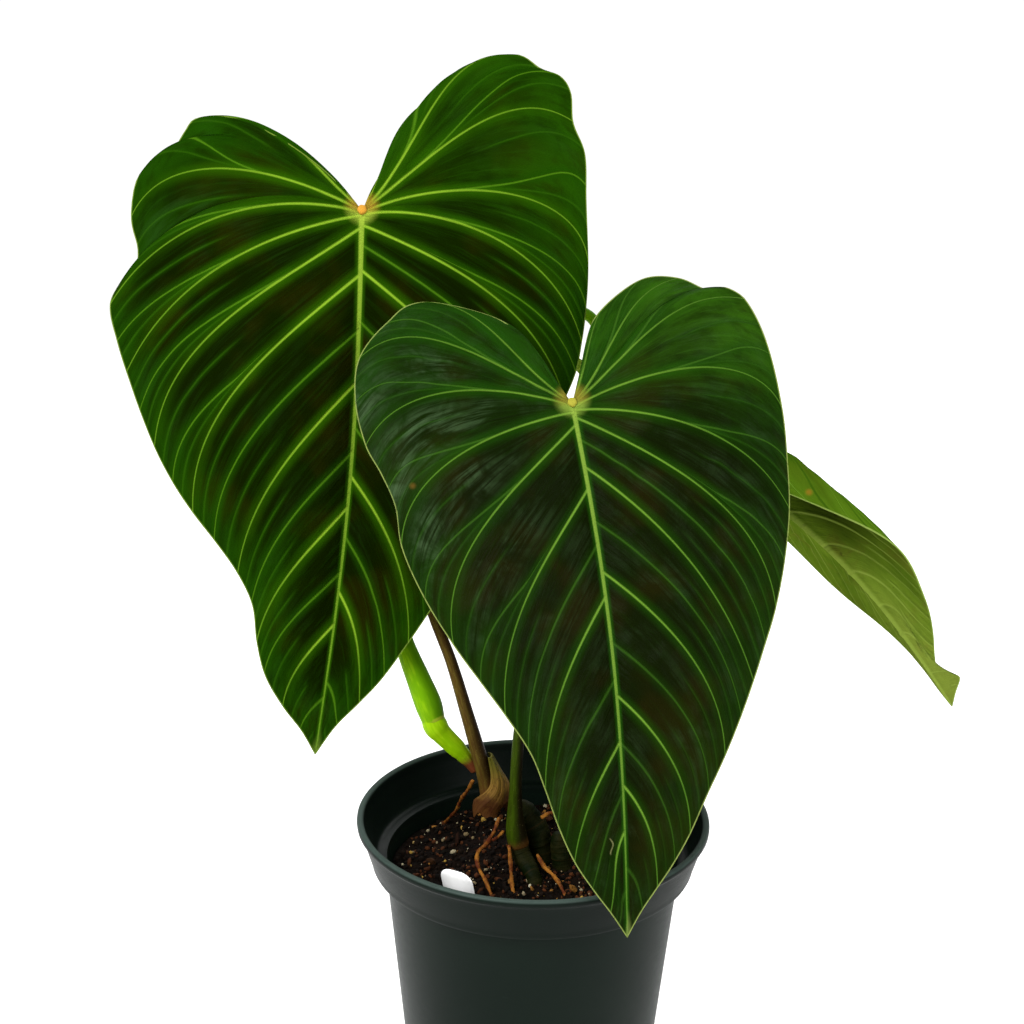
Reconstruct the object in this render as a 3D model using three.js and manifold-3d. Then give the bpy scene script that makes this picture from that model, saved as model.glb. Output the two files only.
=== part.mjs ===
// A potted philodendron: three heart-shaped leaves on long petioles, a short creeping stem
// with a new shoot and aerial roots, peat potting mix, and a round nursery pot with a label.
// Millimetres, +Z up. The origin is the middle of the pot's flat underside; the two nearer
// leaves face -Y.
import * as THREE from 'three';
import { mergeVertices } from 'three/addons/utils/BufferGeometryUtils.js';
import Module from 'manifold-3d';

const wasm = await Module();
wasm.setup();

// ---------------------------------------------------------------- driving dimensions
const POT_HEIGHT = 146;
const POT_RIM_RADIUS = 76;          // outside of the lip
const POT_BAND_RADIUS = 69.5;       // outside of the rim band at its lower edge
const POT_BAND_HEIGHT = 21;
const POT_WALL_RADIUS = 64;         // outside of the wall under the band
const POT_BASE_RADIUS = 51.5;
const POT_WALL = 1.6;
const POT_LEDGE_HEIGHT = 127.5;
const DRAIN_HOLES = 8;
const DRAIN_RADIUS = 4.5;
const DRAIN_CIRCLE = 37;
const MIX_LEVEL = 119;
const GAP = 0.35;                   // clearance between neighbouring pieces
const BLADE_THICKNESS = 1.2;
const LABEL_WIDTH = 14.5;
const LABEL_LENGTH = 75;
const LABEL_THICKNESS = 0.8;
const LABEL_TOP = [68.3, 242.5, 151];  // distance from the pot's axis, bearing in degrees, height
const LABEL_LEAN = 18;              // degrees outward from upright

// ---------------------------------------------------------------- small helpers
const group = new THREE.Group();
group.name = 'potted_philodendron';

function material(hex, roughness) {
  return new THREE.MeshStandardMaterial({ color: hex, roughness, metalness: 0 });
}

function addPiece(name, geometry, mat) {
  const mesh = new THREE.Mesh(geometry, mat);
  mesh.name = name;
  group.add(mesh);
  return mesh;
}

function solidFrom(geometry) {
  const g = geometry.clone();
  g.deleteAttribute('normal');
  g.deleteAttribute('uv');
  const merged = mergeVertices(g, 1e-4);
  const vertProperties = new Float32Array(merged.attributes.position.array);
  const triVerts = new Uint32Array(merged.index.array);
  return new wasm.Manifold(new wasm.Mesh({ numProp: 3, vertProperties, triVerts }));
}

function geometryFrom(solid) {
  const m = solid.getMesh();
  const g = new THREE.BufferGeometry();
  g.setAttribute('position', new THREE.BufferAttribute(Float32Array.from(m.vertProperties), 3));
  g.setIndex(new THREE.BufferAttribute(Uint32Array.from(m.triVerts), 1));
  g.computeVertexNormals();
  return g;
}

// A closed mesh from a list of points and faces, leaving out faces that have shrunk to a line.
function closedMesh(points, faces) {
  const keys = new Map();
  const kept = [];
  const index = points.map((p) => {
    const key = `${p.x.toFixed(3)},${p.y.toFixed(3)},${p.z.toFixed(3)}`;
    if (!keys.has(key)) {
      keys.set(key, kept.length);
      kept.push(p);
    }
    return keys.get(key);
  });
  const tris = [];
  for (const [a, b, c] of faces) {
    const [i, j, k] = [index[a], index[b], index[c]];
    if (i !== j && j !== k && k !== i) {
      tris.push(i, j, k);
    }
  }
  const g = new THREE.BufferGeometry();
  g.setFromPoints(kept);
  g.setIndex(tris);
  g.computeVertexNormals();
  return g;
}

// A value from a table of [station, value, value...] rows by a smooth curve through them.
function fromTable(table, s) {
  let i = 0;
  while (i < table.length - 2 && s > table[i + 1][0]) {
    i += 1;
  }
  const p1 = table[i];
  const p2 = table[i + 1];
  const p0 = table[Math.max(i - 1, 0)];
  const p3 = table[Math.min(i + 2, table.length - 1)];
  const h = p2[0] - p1[0];
  const x = (s - p1[0]) / h;
  const out = [];
  for (let k = 1; k < p1.length; k += 1) {
    const m1 = p2[0] === p0[0] ? 0 : (p2[k] - p0[k]) / (p2[0] - p0[0]) * h;
    const m2 = p3[0] === p1[0] ? 0 : (p3[k] - p1[k]) / (p3[0] - p1[0]) * h;
    const x2 = x * x;
    const x3 = x2 * x;
    const a = (2 * x3 - 3 * x2 + 1) * p1[k] + (x3 - 2 * x2 + x) * m1;
    const b = (3 * x2 - 2 * x3) * p2[k] + (x3 - x2) * m2;
    out.push(a + b);
  }
  return out;
}

// ---------------------------------------------------------------- tapered round limbs
// rows: [x, y, z, radius]; a closed tube of the given number of sides with flat ends.
function limb(rows, sides, rings, flat = 1) {
  const curve = new THREE.CatmullRomCurve3(rows.map((r) => new THREE.Vector3(r[0], r[1], r[2])));
  const radii = rows.map((r, i) => [i / (rows.length - 1), r[3]]);
  const frames = curve.computeFrenetFrames(rings, false);
  const points = [];
  const faces = [];
  for (let i = 0; i <= rings; i += 1) {
    const u = i / rings;
    const centre = curve.getPointAt(u);
    const radius = fromTable(radii, curve.getUtoTmapping(u))[0];
    for (let j = 0; j < sides; j += 1) {
      const a = j / sides * 2 * Math.PI;
      const p = centre.clone();
      p.addScaledVector(frames.normals[i], radius * Math.cos(a));
      p.addScaledVector(frames.binormals[i], radius * flat * Math.sin(a));
      points.push(p);
    }
  }
  for (let i = 0; i < rings; i += 1) {
    for (let j = 0; j < sides; j += 1) {
      const a = i * sides + j;
      const b = i * sides + (j + 1) % sides;
      faces.push([a, b, b + sides], [a, b + sides, a + sides]);
    }
  }
  points.push(curve.getPointAt(0), curve.getPointAt(1));
  const foot = points.length - 2;
  for (let j = 0; j < sides; j += 1) {
    const n = (j + 1) % sides;
    faces.push([foot, n, j], [foot + 1, rings * sides + j, rings * sides + n]);
  }
  return closedMesh(points, faces);
}

// ---------------------------------------------------------------- pot
// Band, step, wall and flat base in one thin skin; the profile runs up the outside and
// back down the inside.
function potGeometry() {
  const step = POT_HEIGHT - POT_BAND_HEIGHT;
  const w = POT_WALL;
  const profile = [
    [0, 0],
    [POT_BASE_RADIUS - 1.5, 0],
    [POT_BASE_RADIUS, 1.5],
    [POT_WALL_RADIUS, step - 0.6],
    [POT_BAND_RADIUS, step],
    [POT_RIM_RADIUS - 1.6, POT_HEIGHT - 4.2],
    [POT_RIM_RADIUS, POT_HEIGHT - 3.2],
    [POT_RIM_RADIUS, POT_HEIGHT - 1.0],
    [POT_RIM_RADIUS - 0.8, POT_HEIGHT],
    [POT_RIM_RADIUS - 2.2, POT_HEIGHT - 0.4],
    [POT_RIM_RADIUS - 3.6, POT_HEIGHT - 4.5],
    [POT_BAND_RADIUS - w - 0.2, POT_LEDGE_HEIGHT + 0.6],
    [POT_WALL_RADIUS - w + 0.5, POT_LEDGE_HEIGHT - 0.8],
    [POT_BASE_RADIUS - w + 0.2, 3.5],
    [POT_BASE_RADIUS - w - 1.8, 2.0],
    [0, 2.0],
  ];
  const lathe = new THREE.LatheGeometry(profile.map((p) => new THREE.Vector2(p[0], p[1])), 64);
  lathe.rotateX(Math.PI / 2);
  let solid = solidFrom(lathe);
  for (let i = 0; i < DRAIN_HOLES; i += 1) {
    const a = (i + 0.5) / DRAIN_HOLES * 2 * Math.PI;
    const drill = new THREE.CylinderGeometry(DRAIN_RADIUS, DRAIN_RADIUS, 8, 16);
    drill.rotateX(Math.PI / 2);
    drill.translate(DRAIN_CIRCLE * Math.cos(a), DRAIN_CIRCLE * Math.sin(a), 1);
    solid = solid.subtract(solidFrom(drill));
  }
  return geometryFrom(solid);
}
addPiece('pot', potGeometry(), material(0x26322c, 0.45));

// ---------------------------------------------------------------- plant label
// A thin white tag with a rounded top, pushed into the mix at the front left and leaning out
// towards the rim. Its own frame has x across, y up along it and z through its thickness.
function labelMatrix() {
  const [r, bearing, top] = LABEL_TOP;
  const a = bearing * Math.PI / 180;
  const lean = LABEL_LEAN * Math.PI / 180;
  const x = new THREE.Vector3(-Math.sin(a), Math.cos(a), 0);
  const out = new THREE.Vector3(Math.cos(a), Math.sin(a), 0);
  const y = out.clone().multiplyScalar(Math.sin(lean)).setZ(Math.cos(lean));
  const z = new THREE.Vector3().crossVectors(x, y);
  const m = new THREE.Matrix4().makeBasis(x, y, z);
  m.setPosition(out.clone().multiplyScalar(r).setZ(top).addScaledVector(y, -LABEL_LENGTH));
  return m;
}

function labelGeometry() {
  const shape = new THREE.Shape();
  const h = LABEL_WIDTH / 2;
  const corner = 5;
  shape.moveTo(-h, 0);
  shape.lineTo(h, 0);
  shape.lineTo(h, LABEL_LENGTH - corner);
  shape.absarc(h - corner, LABEL_LENGTH - corner, corner, 0, Math.PI / 2, false);
  shape.absarc(corner - h, LABEL_LENGTH - corner, corner, Math.PI / 2, Math.PI, false);
  shape.lineTo(-h, 0);
  return new THREE.ExtrudeGeometry(shape, { depth: LABEL_THICKNESS, bevelEnabled: false, curveSegments: 6 });
}
const label = addPiece('plant_label', labelGeometry(), material(0xf2f2f0, 0.4));
label.applyMatrix4(labelMatrix());

// ---------------------------------------------------------------- stems that stand in the mix
const RHIZOME = [[4.8, 8.4, 112, 5.4], [4.4, 9, 120.2, 5.4], [3, 10.5, 127, 5.8], [0, 12, 134, 6],
  [-4, 13, 139.5, 5.4], [-7.2, 13.2, 142, 4.2]];
const OLD_STEM = [[2.4, -13.5, 113, 3.2], [0.6, -10, 120.6, 3.4], [-2, -6, 123.8, 3.8],
  [-4.6, -2, 126.6, 4.2], [-5.6, -0.8, 129.2, 4.2]];
const OLD_STUB = [[13.4, 1.4, 113, 4], [13, 2, 120.4, 4.2], [12.4, 3, 127, 4.4],
  [11.6, 3.5, 133, 3.6], [11.4, 3.6, 134.6, 2.2]];

// ---------------------------------------------------------------- potting mix
// Fills the pot from its floor to MIX_LEVEL, with a gently uneven top.
function mixHeight(x, y) {
  return MIX_LEVEL + 0.5 * Math.sin(x * 0.11 + 1) * Math.cos(y * 0.09) - 0.4;
}

function mixGeometry() {
  const sides = 48;
  const slope = (POT_WALL_RADIUS - POT_BASE_RADIUS) / (POT_HEIGHT - POT_BAND_HEIGHT);
  const inside = (z) => POT_BASE_RADIUS + slope * z - POT_WALL - GAP - 0.45;
  const rings = [[inside(4) - 3.2, 2.0 + GAP], [inside(4), 5.5], [inside(60), 60], [inside(112), 112]];
  const points = [];
  const faces = [];
  for (const [r, z] of rings) {
    for (let j = 0; j < sides; j += 1) {
      const a = j / sides * 2 * Math.PI;
      points.push(new THREE.Vector3(r * Math.cos(a), r * Math.sin(a), z));
    }
  }
  for (const r of [inside(118) - 0.2, 52, 40, 27, 14]) {
    for (let j = 0; j < sides; j += 1) {
      const a = j / sides * 2 * Math.PI;
      const x = r * Math.cos(a);
      const y = r * Math.sin(a);
      points.push(new THREE.Vector3(x, y, mixHeight(x, y)));
    }
  }
  const last = rings.length + 5;
  for (let i = 0; i < last - 1; i += 1) {
    for (let j = 0; j < sides; j += 1) {
      const a = i * sides + j;
      const b = i * sides + (j + 1) % sides;
      faces.push([a, b, b + sides], [a, b + sides, a + sides]);
    }
  }
  points.push(new THREE.Vector3(0, 0, 2.0 + GAP), new THREE.Vector3(0, 0, mixHeight(0, 0)));
  const bottom = points.length - 2;
  for (let j = 0; j < sides; j += 1) {
    const n = (j + 1) % sides;
    faces.push([bottom, n, j], [bottom + 1, (last - 1) * sides + j, (last - 1) * sides + n]);
  }
  return closedMesh(points, faces);
}

// The slot that the label stands in.
function labelSlot() {
  const slot = new THREE.BoxGeometry(LABEL_WIDTH + 2 * GAP, LABEL_LENGTH + GAP, LABEL_THICKNESS + 2 * GAP);
  slot.translate(0, (LABEL_LENGTH - GAP) / 2, LABEL_THICKNESS / 2);
  slot.applyMatrix4(labelMatrix());
  return solidFrom(slot);
}

// The socket around a stem: the same limb, GAP larger all round and a little deeper.
function socket(rows, sides, rings) {
  const wider = rows.map(([x, y, z, r], i) => [x, y, i === 0 ? z - 2 * GAP : z, r + 1.5 * GAP]);
  return solidFrom(limb(wider, sides, rings));
}

function mixPiece() {
  let solid = solidFrom(mixGeometry()).subtract(labelSlot());
  for (const rows of [RHIZOME, OLD_STEM, OLD_STUB]) {
    solid = solid.subtract(socket(rows, 12, 10));
  }
  return geometryFrom(solid);
}
addPiece('potting_mix', mixPiece(), material(0x1d1712, 0.95));

// ---------------------------------------------------------------- leaf blades
// A blade is laid out flat: u is the distance from the midrib, q runs along it from the
// petiole to the tip, and is negative in the lobes. Each half has a margin table of
// [vein number, u, q] and a vein table of [vein number, q on the midrib, angle at the
// midrib, angle at the margin], angles in degrees from the tip's direction. The flat blade is
// bent back along its length by `bend`, folded up at the midrib by `fold` degrees and
// rolled down towards its left and right margins by `roll`, both bends per millimetre.
const FRONT = {
  at: [12.6, 2, 328.5], along: [25, -125, -178], side: [1, 0, 0], scale: 1.0, length: 214,
  bend: 0.0018, fold: 10, roll: [0.0035, 0.0035], bow: 5, ripple: 2.4, phase: 0.6,
  left: {
    margin: [[0, 0, 0], [0.25, 9, -14], [0.5, 19, -30], [0.75, 30, -39.5], [1, 56, -48],
      [1.5, 72, -40.5], [2, 84.5, -27], [2.5, 87.5, -9], [3, 84.5, 11], [3.35, 79, 24],
      [3.7, 74.5, 38], [4, 73.5, 54], [4.5, 66.5, 75], [5, 57, 94], [5.5, 48, 109],
      [6, 39.5, 123], [6.5, 31.5, 138], [7, 27, 153], [7.5, 23, 168], [8, 18, 182],
      [8.5, 11.5, 194], [9, 6, 203], [10, 0, 214]],
    veins: [[0, 0, 147, 147], [1, 0, 124, 95], [2, 0.5, 118, 50], [3, 1.5, 110, 30],
      [4, 4, 80, 5], [5, 9, 46, -6], [6, 36, 36, 0], [7, 80, 36, 5], [8, 137, 37, 12],
      [9, 172, 36, 20], [10, 214, 30, 20]],
  },
  right: {
    margin: [[0, 0, 0], [0.3, 4, -11], [0.6, 8, -23], [0.9, 13, -35], [1.25, 25, -45.5],
      [1.6, 37, -51], [2, 50, -49], [2.5, 61, -41.8], [2.8, 68, -42], [3, 75, -36],
      [3.4, 81, -17], [4, 84, 12], [4.5, 83.5, 33], [5, 81.5, 53], [5.5, 76.5, 73],
      [6, 70, 92], [6.5, 64, 106], [7, 58.5, 119], [7.5, 52, 133], [8, 44.5, 147],
      [8.5, 36, 161], [9, 28, 175], [9.5, 20.5, 186], [10, 13.5, 195], [10.5, 6.5, 204],
      [11, 0, 214]],
    veins: [[0, 0, 162, 165], [1, 0, 150, 150], [2, 0.5, 130, 97], [3, 1, 124, 73],
      [4, 2, 112, 15], [5, 3, 84, 20], [6, 6, 56, -1], [7, 27, 47, 11], [8, 70, 47, -5],
      [9, 119, 44, -7], [10, 154, 38, -5], [11, 214, 30, 10]],
  },
};

const LEFT = {
  at: [-76.5, 66, 394.9], along: [-17, -92, -190], side: [1, 0, 0], scale: 1.018, length: 233,
  bend: 0.0018, fold: 10, roll: [0.0035, 0.0035], bow: 6, ripple: 3.0, phase: 2.1,
  left: {
    margin: [[0, 0, 0], [0.5, 20, -16], [0.8, 42, -28], [1, 61, -33.5], [1.2, 74, -32],
      [1.35, 78, -26], [1.5, 82, -18.5], [1.7, 91.5, -12], [1.85, 96.5, -3], [2, 96.5, 12],
      [2.3, 91.5, 26], [2.5, 91.5, 36], [2.75, 97.5, 42], [3, 100, 50], [3.5, 96, 64],
      [4, 91.5, 77], [4.5, 85, 92], [5, 76.5, 107], [5.5, 67, 120], [6, 57, 132],
      [6.5, 47, 143.5], [7, 37.5, 156], [7.5, 30.5, 169], [8, 27.5, 184], [8.5, 23, 198],
      [9, 15, 211], [9.5, 6.5, 222], [10, 0, 233]],
    veins: [[0, 0, 128, 120], [1, 0, 122, 85], [2, 0.5, 112, 20], [3, 1, 98, 25],
      [4, 2, 72, 22], [5, 7, 47, 0], [6, 27, 43, -8], [7, 72, 38, 4], [8, 124, 37, 8],
      [9, 174, 40, 5], [10, 233, 35, 15]],
  },
  right: {
    margin: [[0, 0, 0], [0.3, 3, -9], [0.6, 8, -21], [0.9, 12, -34], [1.2, 16.5, -44],
      [1.5, 27, -53], [1.8, 41, -65.5], [2, 57, -73], [2.3, 69, -67.5], [2.55, 77.5, -65],
      [2.8, 82.5, -58], [3, 84.5, -46], [3.3, 91, -33], [3.6, 93.5, -14], [4, 97, 14],
      [4.5, 97.5, 33], [5, 96.5, 48], [5.5, 95, 60], [6, 91.5, 72], [6.5, 85.5, 90],
      [7, 78, 107], [7.5, 68.5, 124], [8, 58, 141], [8.5, 47, 159], [9, 36.5, 178],
      [9.5, 26.5, 195], [10, 17.5, 207], [10.5, 8, 219], [11, 0, 233]],
    veins: [[0, 0, 161, 161], [1, 0, 152, 150], [2, 0, 136, 90], [3, 0.5, 130, 62],
      [4, 1, 118, 10], [5, 1.5, 100, 18], [6, 6, 70, 20], [7, 25, 55, 15], [8, 66, 46, 10],
      [9, 111, 44, 2], [10, 160, 38, 2], [11, 233, 35, 15]],
  },
};

// The rear leaf is a little smaller and hangs away to the lower right with its underside to
// the front. It is folded lengthwise, and the margin of its upper half rolls over forwards.
const REAR_HALF = {
  margin: [[0, 0, 0], [0.4, 8, -16], [0.8, 17, -33], [1.2, 30, -43], [1.6, 44, -42],
    [2, 57, -34], [2.5, 66, -20], [3, 69, -4], [3.5, 69.5, 14], [4, 68, 33], [4.5, 65.5, 51],
    [5, 62, 69], [5.5, 57, 88], [6, 51, 106], [6.5, 44, 122], [7, 36.5, 137], [7.5, 29, 151],
    [8, 22, 164], [8.5, 14, 175], [9, 6.5, 184], [10, 0, 197]],
  veins: [[0, 0, 152, 152], [1, 0, 140, 125], [2, 0.5, 122, 80], [3, 1, 108, 30],
    [4, 3, 84, 12], [5, 9, 56, 6], [6, 33, 46, 5], [7, 72, 42, 8], [8, 113, 40, 10],
    [9, 152, 38, 15], [10, 197, 35, 20]],
};
const REAR = {
  at: [53, 88, 298.5], along: [148.5, -9.5, -133.5], side: [-57, 48.5, -66.5], scale: 0.99,
  length: 197, bend: 0.0003, fold: 51, roll: [0.062, 0.004], bow: -15, ripple: 2.0, phase: 1.2,
  left: REAR_HALF,
  right: REAR_HALF,
};

function bladeFrame(leaf) {
  const t = new THREE.Vector3(...leaf.along).normalize();
  const s = new THREE.Vector3(...leaf.side);
  s.addScaledVector(t, -s.dot(t)).normalize();
  const n = new THREE.Vector3().crossVectors(t, s);
  return { a: new THREE.Vector3(...leaf.at), t, s, n };
}

// Where row number f (0 at the petiole, 1 at the tip) meets the midrib, for both halves.
function midribStation(leaf, f) {
  const [left] = fromTable(leaf.left.veins, f * (leaf.left.veins.length - 1));
  const [right] = fromTable(leaf.right.veins, f * (leaf.right.veins.length - 1));
  return Math.max(0, (left + right) / 2);
}

// Flat (distance from the blade's axis, q) on row f of one half, at fraction w of its way out.
function rowPoint(leaf, half, sign, f, w) {
  const s = f * (half.veins.length - 1);
  const [mu, mq] = fromTable(half.margin, s);
  const [, a0, a1] = fromTable(half.veins, s);
  const q0 = midribStation(leaf, f);
  const u0 = bowAt(leaf, q0);
  const start = sign * u0;
  const chord = Math.hypot(mu - start, mq - q0);
  const r0 = a0 * Math.PI / 180;
  const r1 = a1 * Math.PI / 180;
  const k = chord * 0.36;
  const u1 = start + k * Math.sin(r0);
  const q1 = q0 + k * Math.cos(r0);
  const u2 = mu - k * Math.sin(r1);
  const q2 = mq - k * Math.cos(r1);
  const v = 1 - w;
  const c = [v * v * v, 3 * v * v * w, 3 * v * w * w, w * w * w];
  return [c[0] * start + c[1] * u1 + c[2] * u2 + c[3] * mu, c[0] * q0 + c[1] * q1 + c[2] * q2 + c[3] * mq];
}

// The midrib's sideways bow, in the flat blade.
function bowAt(leaf, q) {
  return leaf.bow * Math.sin(Math.PI * Math.min(Math.max(q / leaf.length, 0), 1));
}

// The flat point (p, q) in its place in the leaf, `lift` above the middle of the sheet.
function bladePoint(leaf, frame, p, q, lift) {
  const k = leaf.bend;
  const l = q * leaf.scale;
  const f = leaf.fold * Math.PI / 180;
  const d = p - bowAt(leaf, q);
  const onMidrib = Math.abs(d) < 1e-6;
  const roll = leaf.roll[d < 0 ? 0 : 1];
  const a = onMidrib ? f : f - roll * Math.abs(d) * leaf.scale;
  const sideways = onMidrib ? 0 : Math.sign(d) * ((Math.sin(f) - Math.sin(a)) / roll - lift * Math.sin(a));
  const up = (Math.cos(a) - Math.cos(f)) / roll + lift * (onMidrib ? 1 / Math.cos(f) : Math.cos(a));
  const out = frame.a.clone();
  out.addScaledVector(frame.t, Math.sin(k * l) / k + up * Math.sin(k * l));
  out.addScaledVector(frame.n, (Math.cos(k * l) - 1) / k + up * Math.cos(k * l));
  out.addScaledVector(frame.s, sideways + bowAt(leaf, q) * leaf.scale);
  return out;
}

// Two sheets, BLADE_THICKNESS apart, joined along the whole outline.
function bladeGeometry(leaf) {
  const frame = bladeFrame(leaf);
  const across = 7;
  const points = [];
  const faces = [];
  const rows = 30;
  for (const [sign, half] of [[-1, leaf.left], [1, leaf.right]]) {
    const base = points.length;
    const id = (i, j, k) => base + (i * (across + 1) + j) * 2 + k;
    for (let i = 0; i <= rows; i += 1) {
      const f = Math.pow(i / rows, 1.35);
      for (let j = 0; j <= across; j += 1) {
        const w = j / across;
        const [u, q] = rowPoint(leaf, half, sign, f, w);
        const wave = leaf.ripple * w * w * w * Math.sin(Math.PI * f) * Math.sin(22 * f + leaf.phase + sign);
        for (const k of [0, 1]) {
          points.push(bladePoint(leaf, frame, sign * u, q, wave + (k - 0.5) * BLADE_THICKNESS));
        }
      }
    }
    const quad = (a, b, c, d) => {
      const flip = sign < 0;
      faces.push(flip ? [a, c, b] : [a, b, c], flip ? [a, d, c] : [a, c, d]);
    };
    for (let i = 0; i < rows; i += 1) {
      for (let j = 0; j < across; j += 1) {
        quad(id(i, j, 1), id(i + 1, j, 1), id(i + 1, j + 1, 1), id(i, j + 1, 1));
        quad(id(i, j, 0), id(i, j + 1, 0), id(i + 1, j + 1, 0), id(i + 1, j, 0));
      }
      quad(id(i, across, 0), id(i, across, 1), id(i + 1, across, 1), id(i + 1, across, 0));
    }
  }
  return closedMesh(points, faces);
}

addPiece('front_leaf_blade', bladeGeometry(FRONT), material(0x22480f, 0.45));
addPiece('left_leaf_blade', bladeGeometry(LEFT), material(0x22480f, 0.45));
addPiece('rear_leaf_blade', bladeGeometry(REAR), material(0x5c7d22, 0.5));

// ---------------------------------------------------------------- petioles and stems
const FRONT_PETIOLE = [[-6, -0.5, 131.2, 4.6], [-7.3, 0, 137.6, 4.3], [-7.7, 1.5, 153.9, 2.8],
  [-6.8, 4, 178.5, 2.5], [-3, 10, 215, 2.3], [3.4, 17, 264.5, 2.2], [8.5, 19.5, 298, 2.1],
  [11.4, 16.5, 316, 2.1], [12.4, 10.5, 323.5, 2.2], [12.6, 5.4, 326.3, 2.3]];
const LEFT_PETIOLE = [[-18.8, 9, 145.5, 3.8], [-20.4, 12, 154, 3.5], [-23.8, 13, 167, 3.3],
  [-29.2, 15, 185.4, 2.9], [-36.4, 19, 208.4, 2.5], [-44.9, 25, 229, 2.4], [-60.2, 42, 274, 2.3],
  [-69.5, 62, 325, 2.2], [-74.5, 76, 364, 2.2], [-76.4, 80, 383, 2.2], [-76.5, 76.5, 390.5, 2.3],
  [-76.5, 70, 393.1, 2.4]];
const REAR_PETIOLE = [[-43.8, 14.8, 182.7, 5.1], [-46, 16.5, 189, 5.8], [-50.3, 19.5, 199, 5.2],
  [-56.5, 24, 213.5, 4.2], [-64, 36, 235, 3.2], [-66.5, 52, 268, 2.8], [-57, 66, 305, 2.6],
  [-34, 74, 335, 2.5], [-3, 77, 352, 2.5], [20.9, 78.5, 348.5, 2.5], [29.5, 82, 334, 2.5],
  [37, 84, 318.5, 2.5], [43.6, 83.6, 306.6, 2.5], [50, 84.2, 299.2, 2.5]];
addPiece('front_leaf_petiole', limb(FRONT_PETIOLE, 8, 20), material(0x4a5a1c, 0.45));
addPiece('left_leaf_petiole', limb(LEFT_PETIOLE, 8, 26), material(0x5a4a28, 0.45));
addPiece('rear_leaf_petiole', limb(REAR_PETIOLE, 8, 34), material(0x7fae22, 0.4));

const INTERNODE = [[-31, 14.6, 166.3, 3.1], [-33.6, 14.4, 169.2, 4.0], [-37.4, 14.2, 173.4, 4.2],
  [-40.3, 14.1, 176.6, 4.3], [-41.3, 14.1, 178, 5.1], [-42.6, 14.3, 180, 5.2], [-43, 14.3, 180.8, 4.7]];
addPiece('shoot_internode', limb(INTERNODE, 12, 10), material(0x8db526, 0.4));

const SHEATH = [[-12.8, 11.6, 142.2, 2.2], [-12.6, 12.2, 147, 3.2], [-12.8, 13, 153, 3.4],
  [-15.4, 15.2, 160, 2.2], [-18.6, 17, 166, 0.7]];
addPiece('dried_sheath', limb(SHEATH, 8, 8), material(0xb08a4a, 0.8));

addPiece('rhizome', limb(RHIZOME, 12, 10), material(0x3b4520, 0.7));
addPiece('old_stem', limb(OLD_STEM, 12, 10), material(0x24341a, 0.7));
addPiece('old_stem_stub', limb(OLD_STUB, 12, 10), material(0x33401c, 0.75));

// ---------------------------------------------------------------- aerial roots
const ROOTS = [
  [[-26.4, 11.4, 155.2, 0.9], [-28.6, 15, 149, 0.95], [-31.6, 21, 141.6, 0.95],
    [-34, 29, 132, 0.9], [-38, 39, 122.4, 0.8], [-40, 42, 120.9, 0.7]],
  [[-14.6, 5, 140.6, 1.0], [-17, 1.4, 135.6, 1.0], [-20, -3.6, 132.6, 1.05],
    [-23.6, -8, 130.8, 1.05], [-23.4, -13, 127.2, 1.0], [-20, -19, 123.4, 0.95],
    [-17, -24.5, 120.9, 0.8]],
  [[-12.7, 0.8, 136.4, 0.8], [-14.9, -1.6, 135.2, 0.85], [-17.2, -3.8, 134.6, 0.8]],
  [[-10.2, -4.4, 132.2, 1.0], [-9.4, -10, 127, 1.0], [-8.8, -18, 122.4, 0.95],
    [-7.6, -25, 120.9, 0.8]],
  [[2.2, -3.2, 127.4, 1.0], [5.2, -8, 124.4, 1.0], [9.5, -13.4, 122.6, 1.0],
    [12, -19, 121.4, 0.95], [14.6, -25, 120.9, 0.8]],
  [[7, 11, 147.4, 0.9], [14, 12.4, 146, 0.95], [23, 14, 137, 0.9], [29, 17, 125, 0.85],
    [31, 18, 120.9, 0.7]],
  [[3.8, 5.4, 141, 0.9], [8.4, 7.4, 142.6, 0.95], [16, 8, 139, 0.9], [22, 7, 128, 0.85],
    [23.6, 6.4, 120.9, 0.7]],
];
ROOTS.forEach((rows, i) => {
  addPiece(`root_${i + 1}`, limb(rows, 6, 5 + rows.length), material(0x9a6a38, 0.7));
});

// ---------------------------------------------------------------- bark chips on the mix
// [x, y, length, width, height, turn in degrees]
const CHIPS = [[-44, 3, 9, 6, 3.2, 20], [-33, 24, 7, 5, 3, 70], [-52, -14, 8, 5, 2.8, 115],
  [18, -20, 8, 6, 3, 40], [40, 2, 9, 5, 3, 150], [5, 44, 10, 6, 3.4, 10]];
CHIPS.forEach(([x, y, lx, ly, lz, turn], i) => {
  const chip = new THREE.IcosahedronGeometry(0.5, 0);
  const pos = chip.attributes.position;
  for (let k = 0; k < pos.count; k += 1) {
    const n = Math.round(pos.getX(k) * 7 + pos.getY(k) * 11 + pos.getZ(k) * 13);
    const grow = 1 + 0.14 * Math.sin(n * 1.7 + i);
    pos.setXYZ(k, pos.getX(k) * lx * grow, pos.getY(k) * ly * grow, pos.getZ(k) * lz);
  }
  chip.rotateZ(turn * Math.PI / 180);
  chip.translate(x, y, MIX_LEVEL + 0.5 + lz * 0.5);
  chip.deleteAttribute('normal');
  chip.deleteAttribute('uv');
  addPiece(`bark_chip_${i + 1}`, mergeVertices(chip, 1e-3), material(0x7a4a26, 0.85));
});

export default group;
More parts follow.
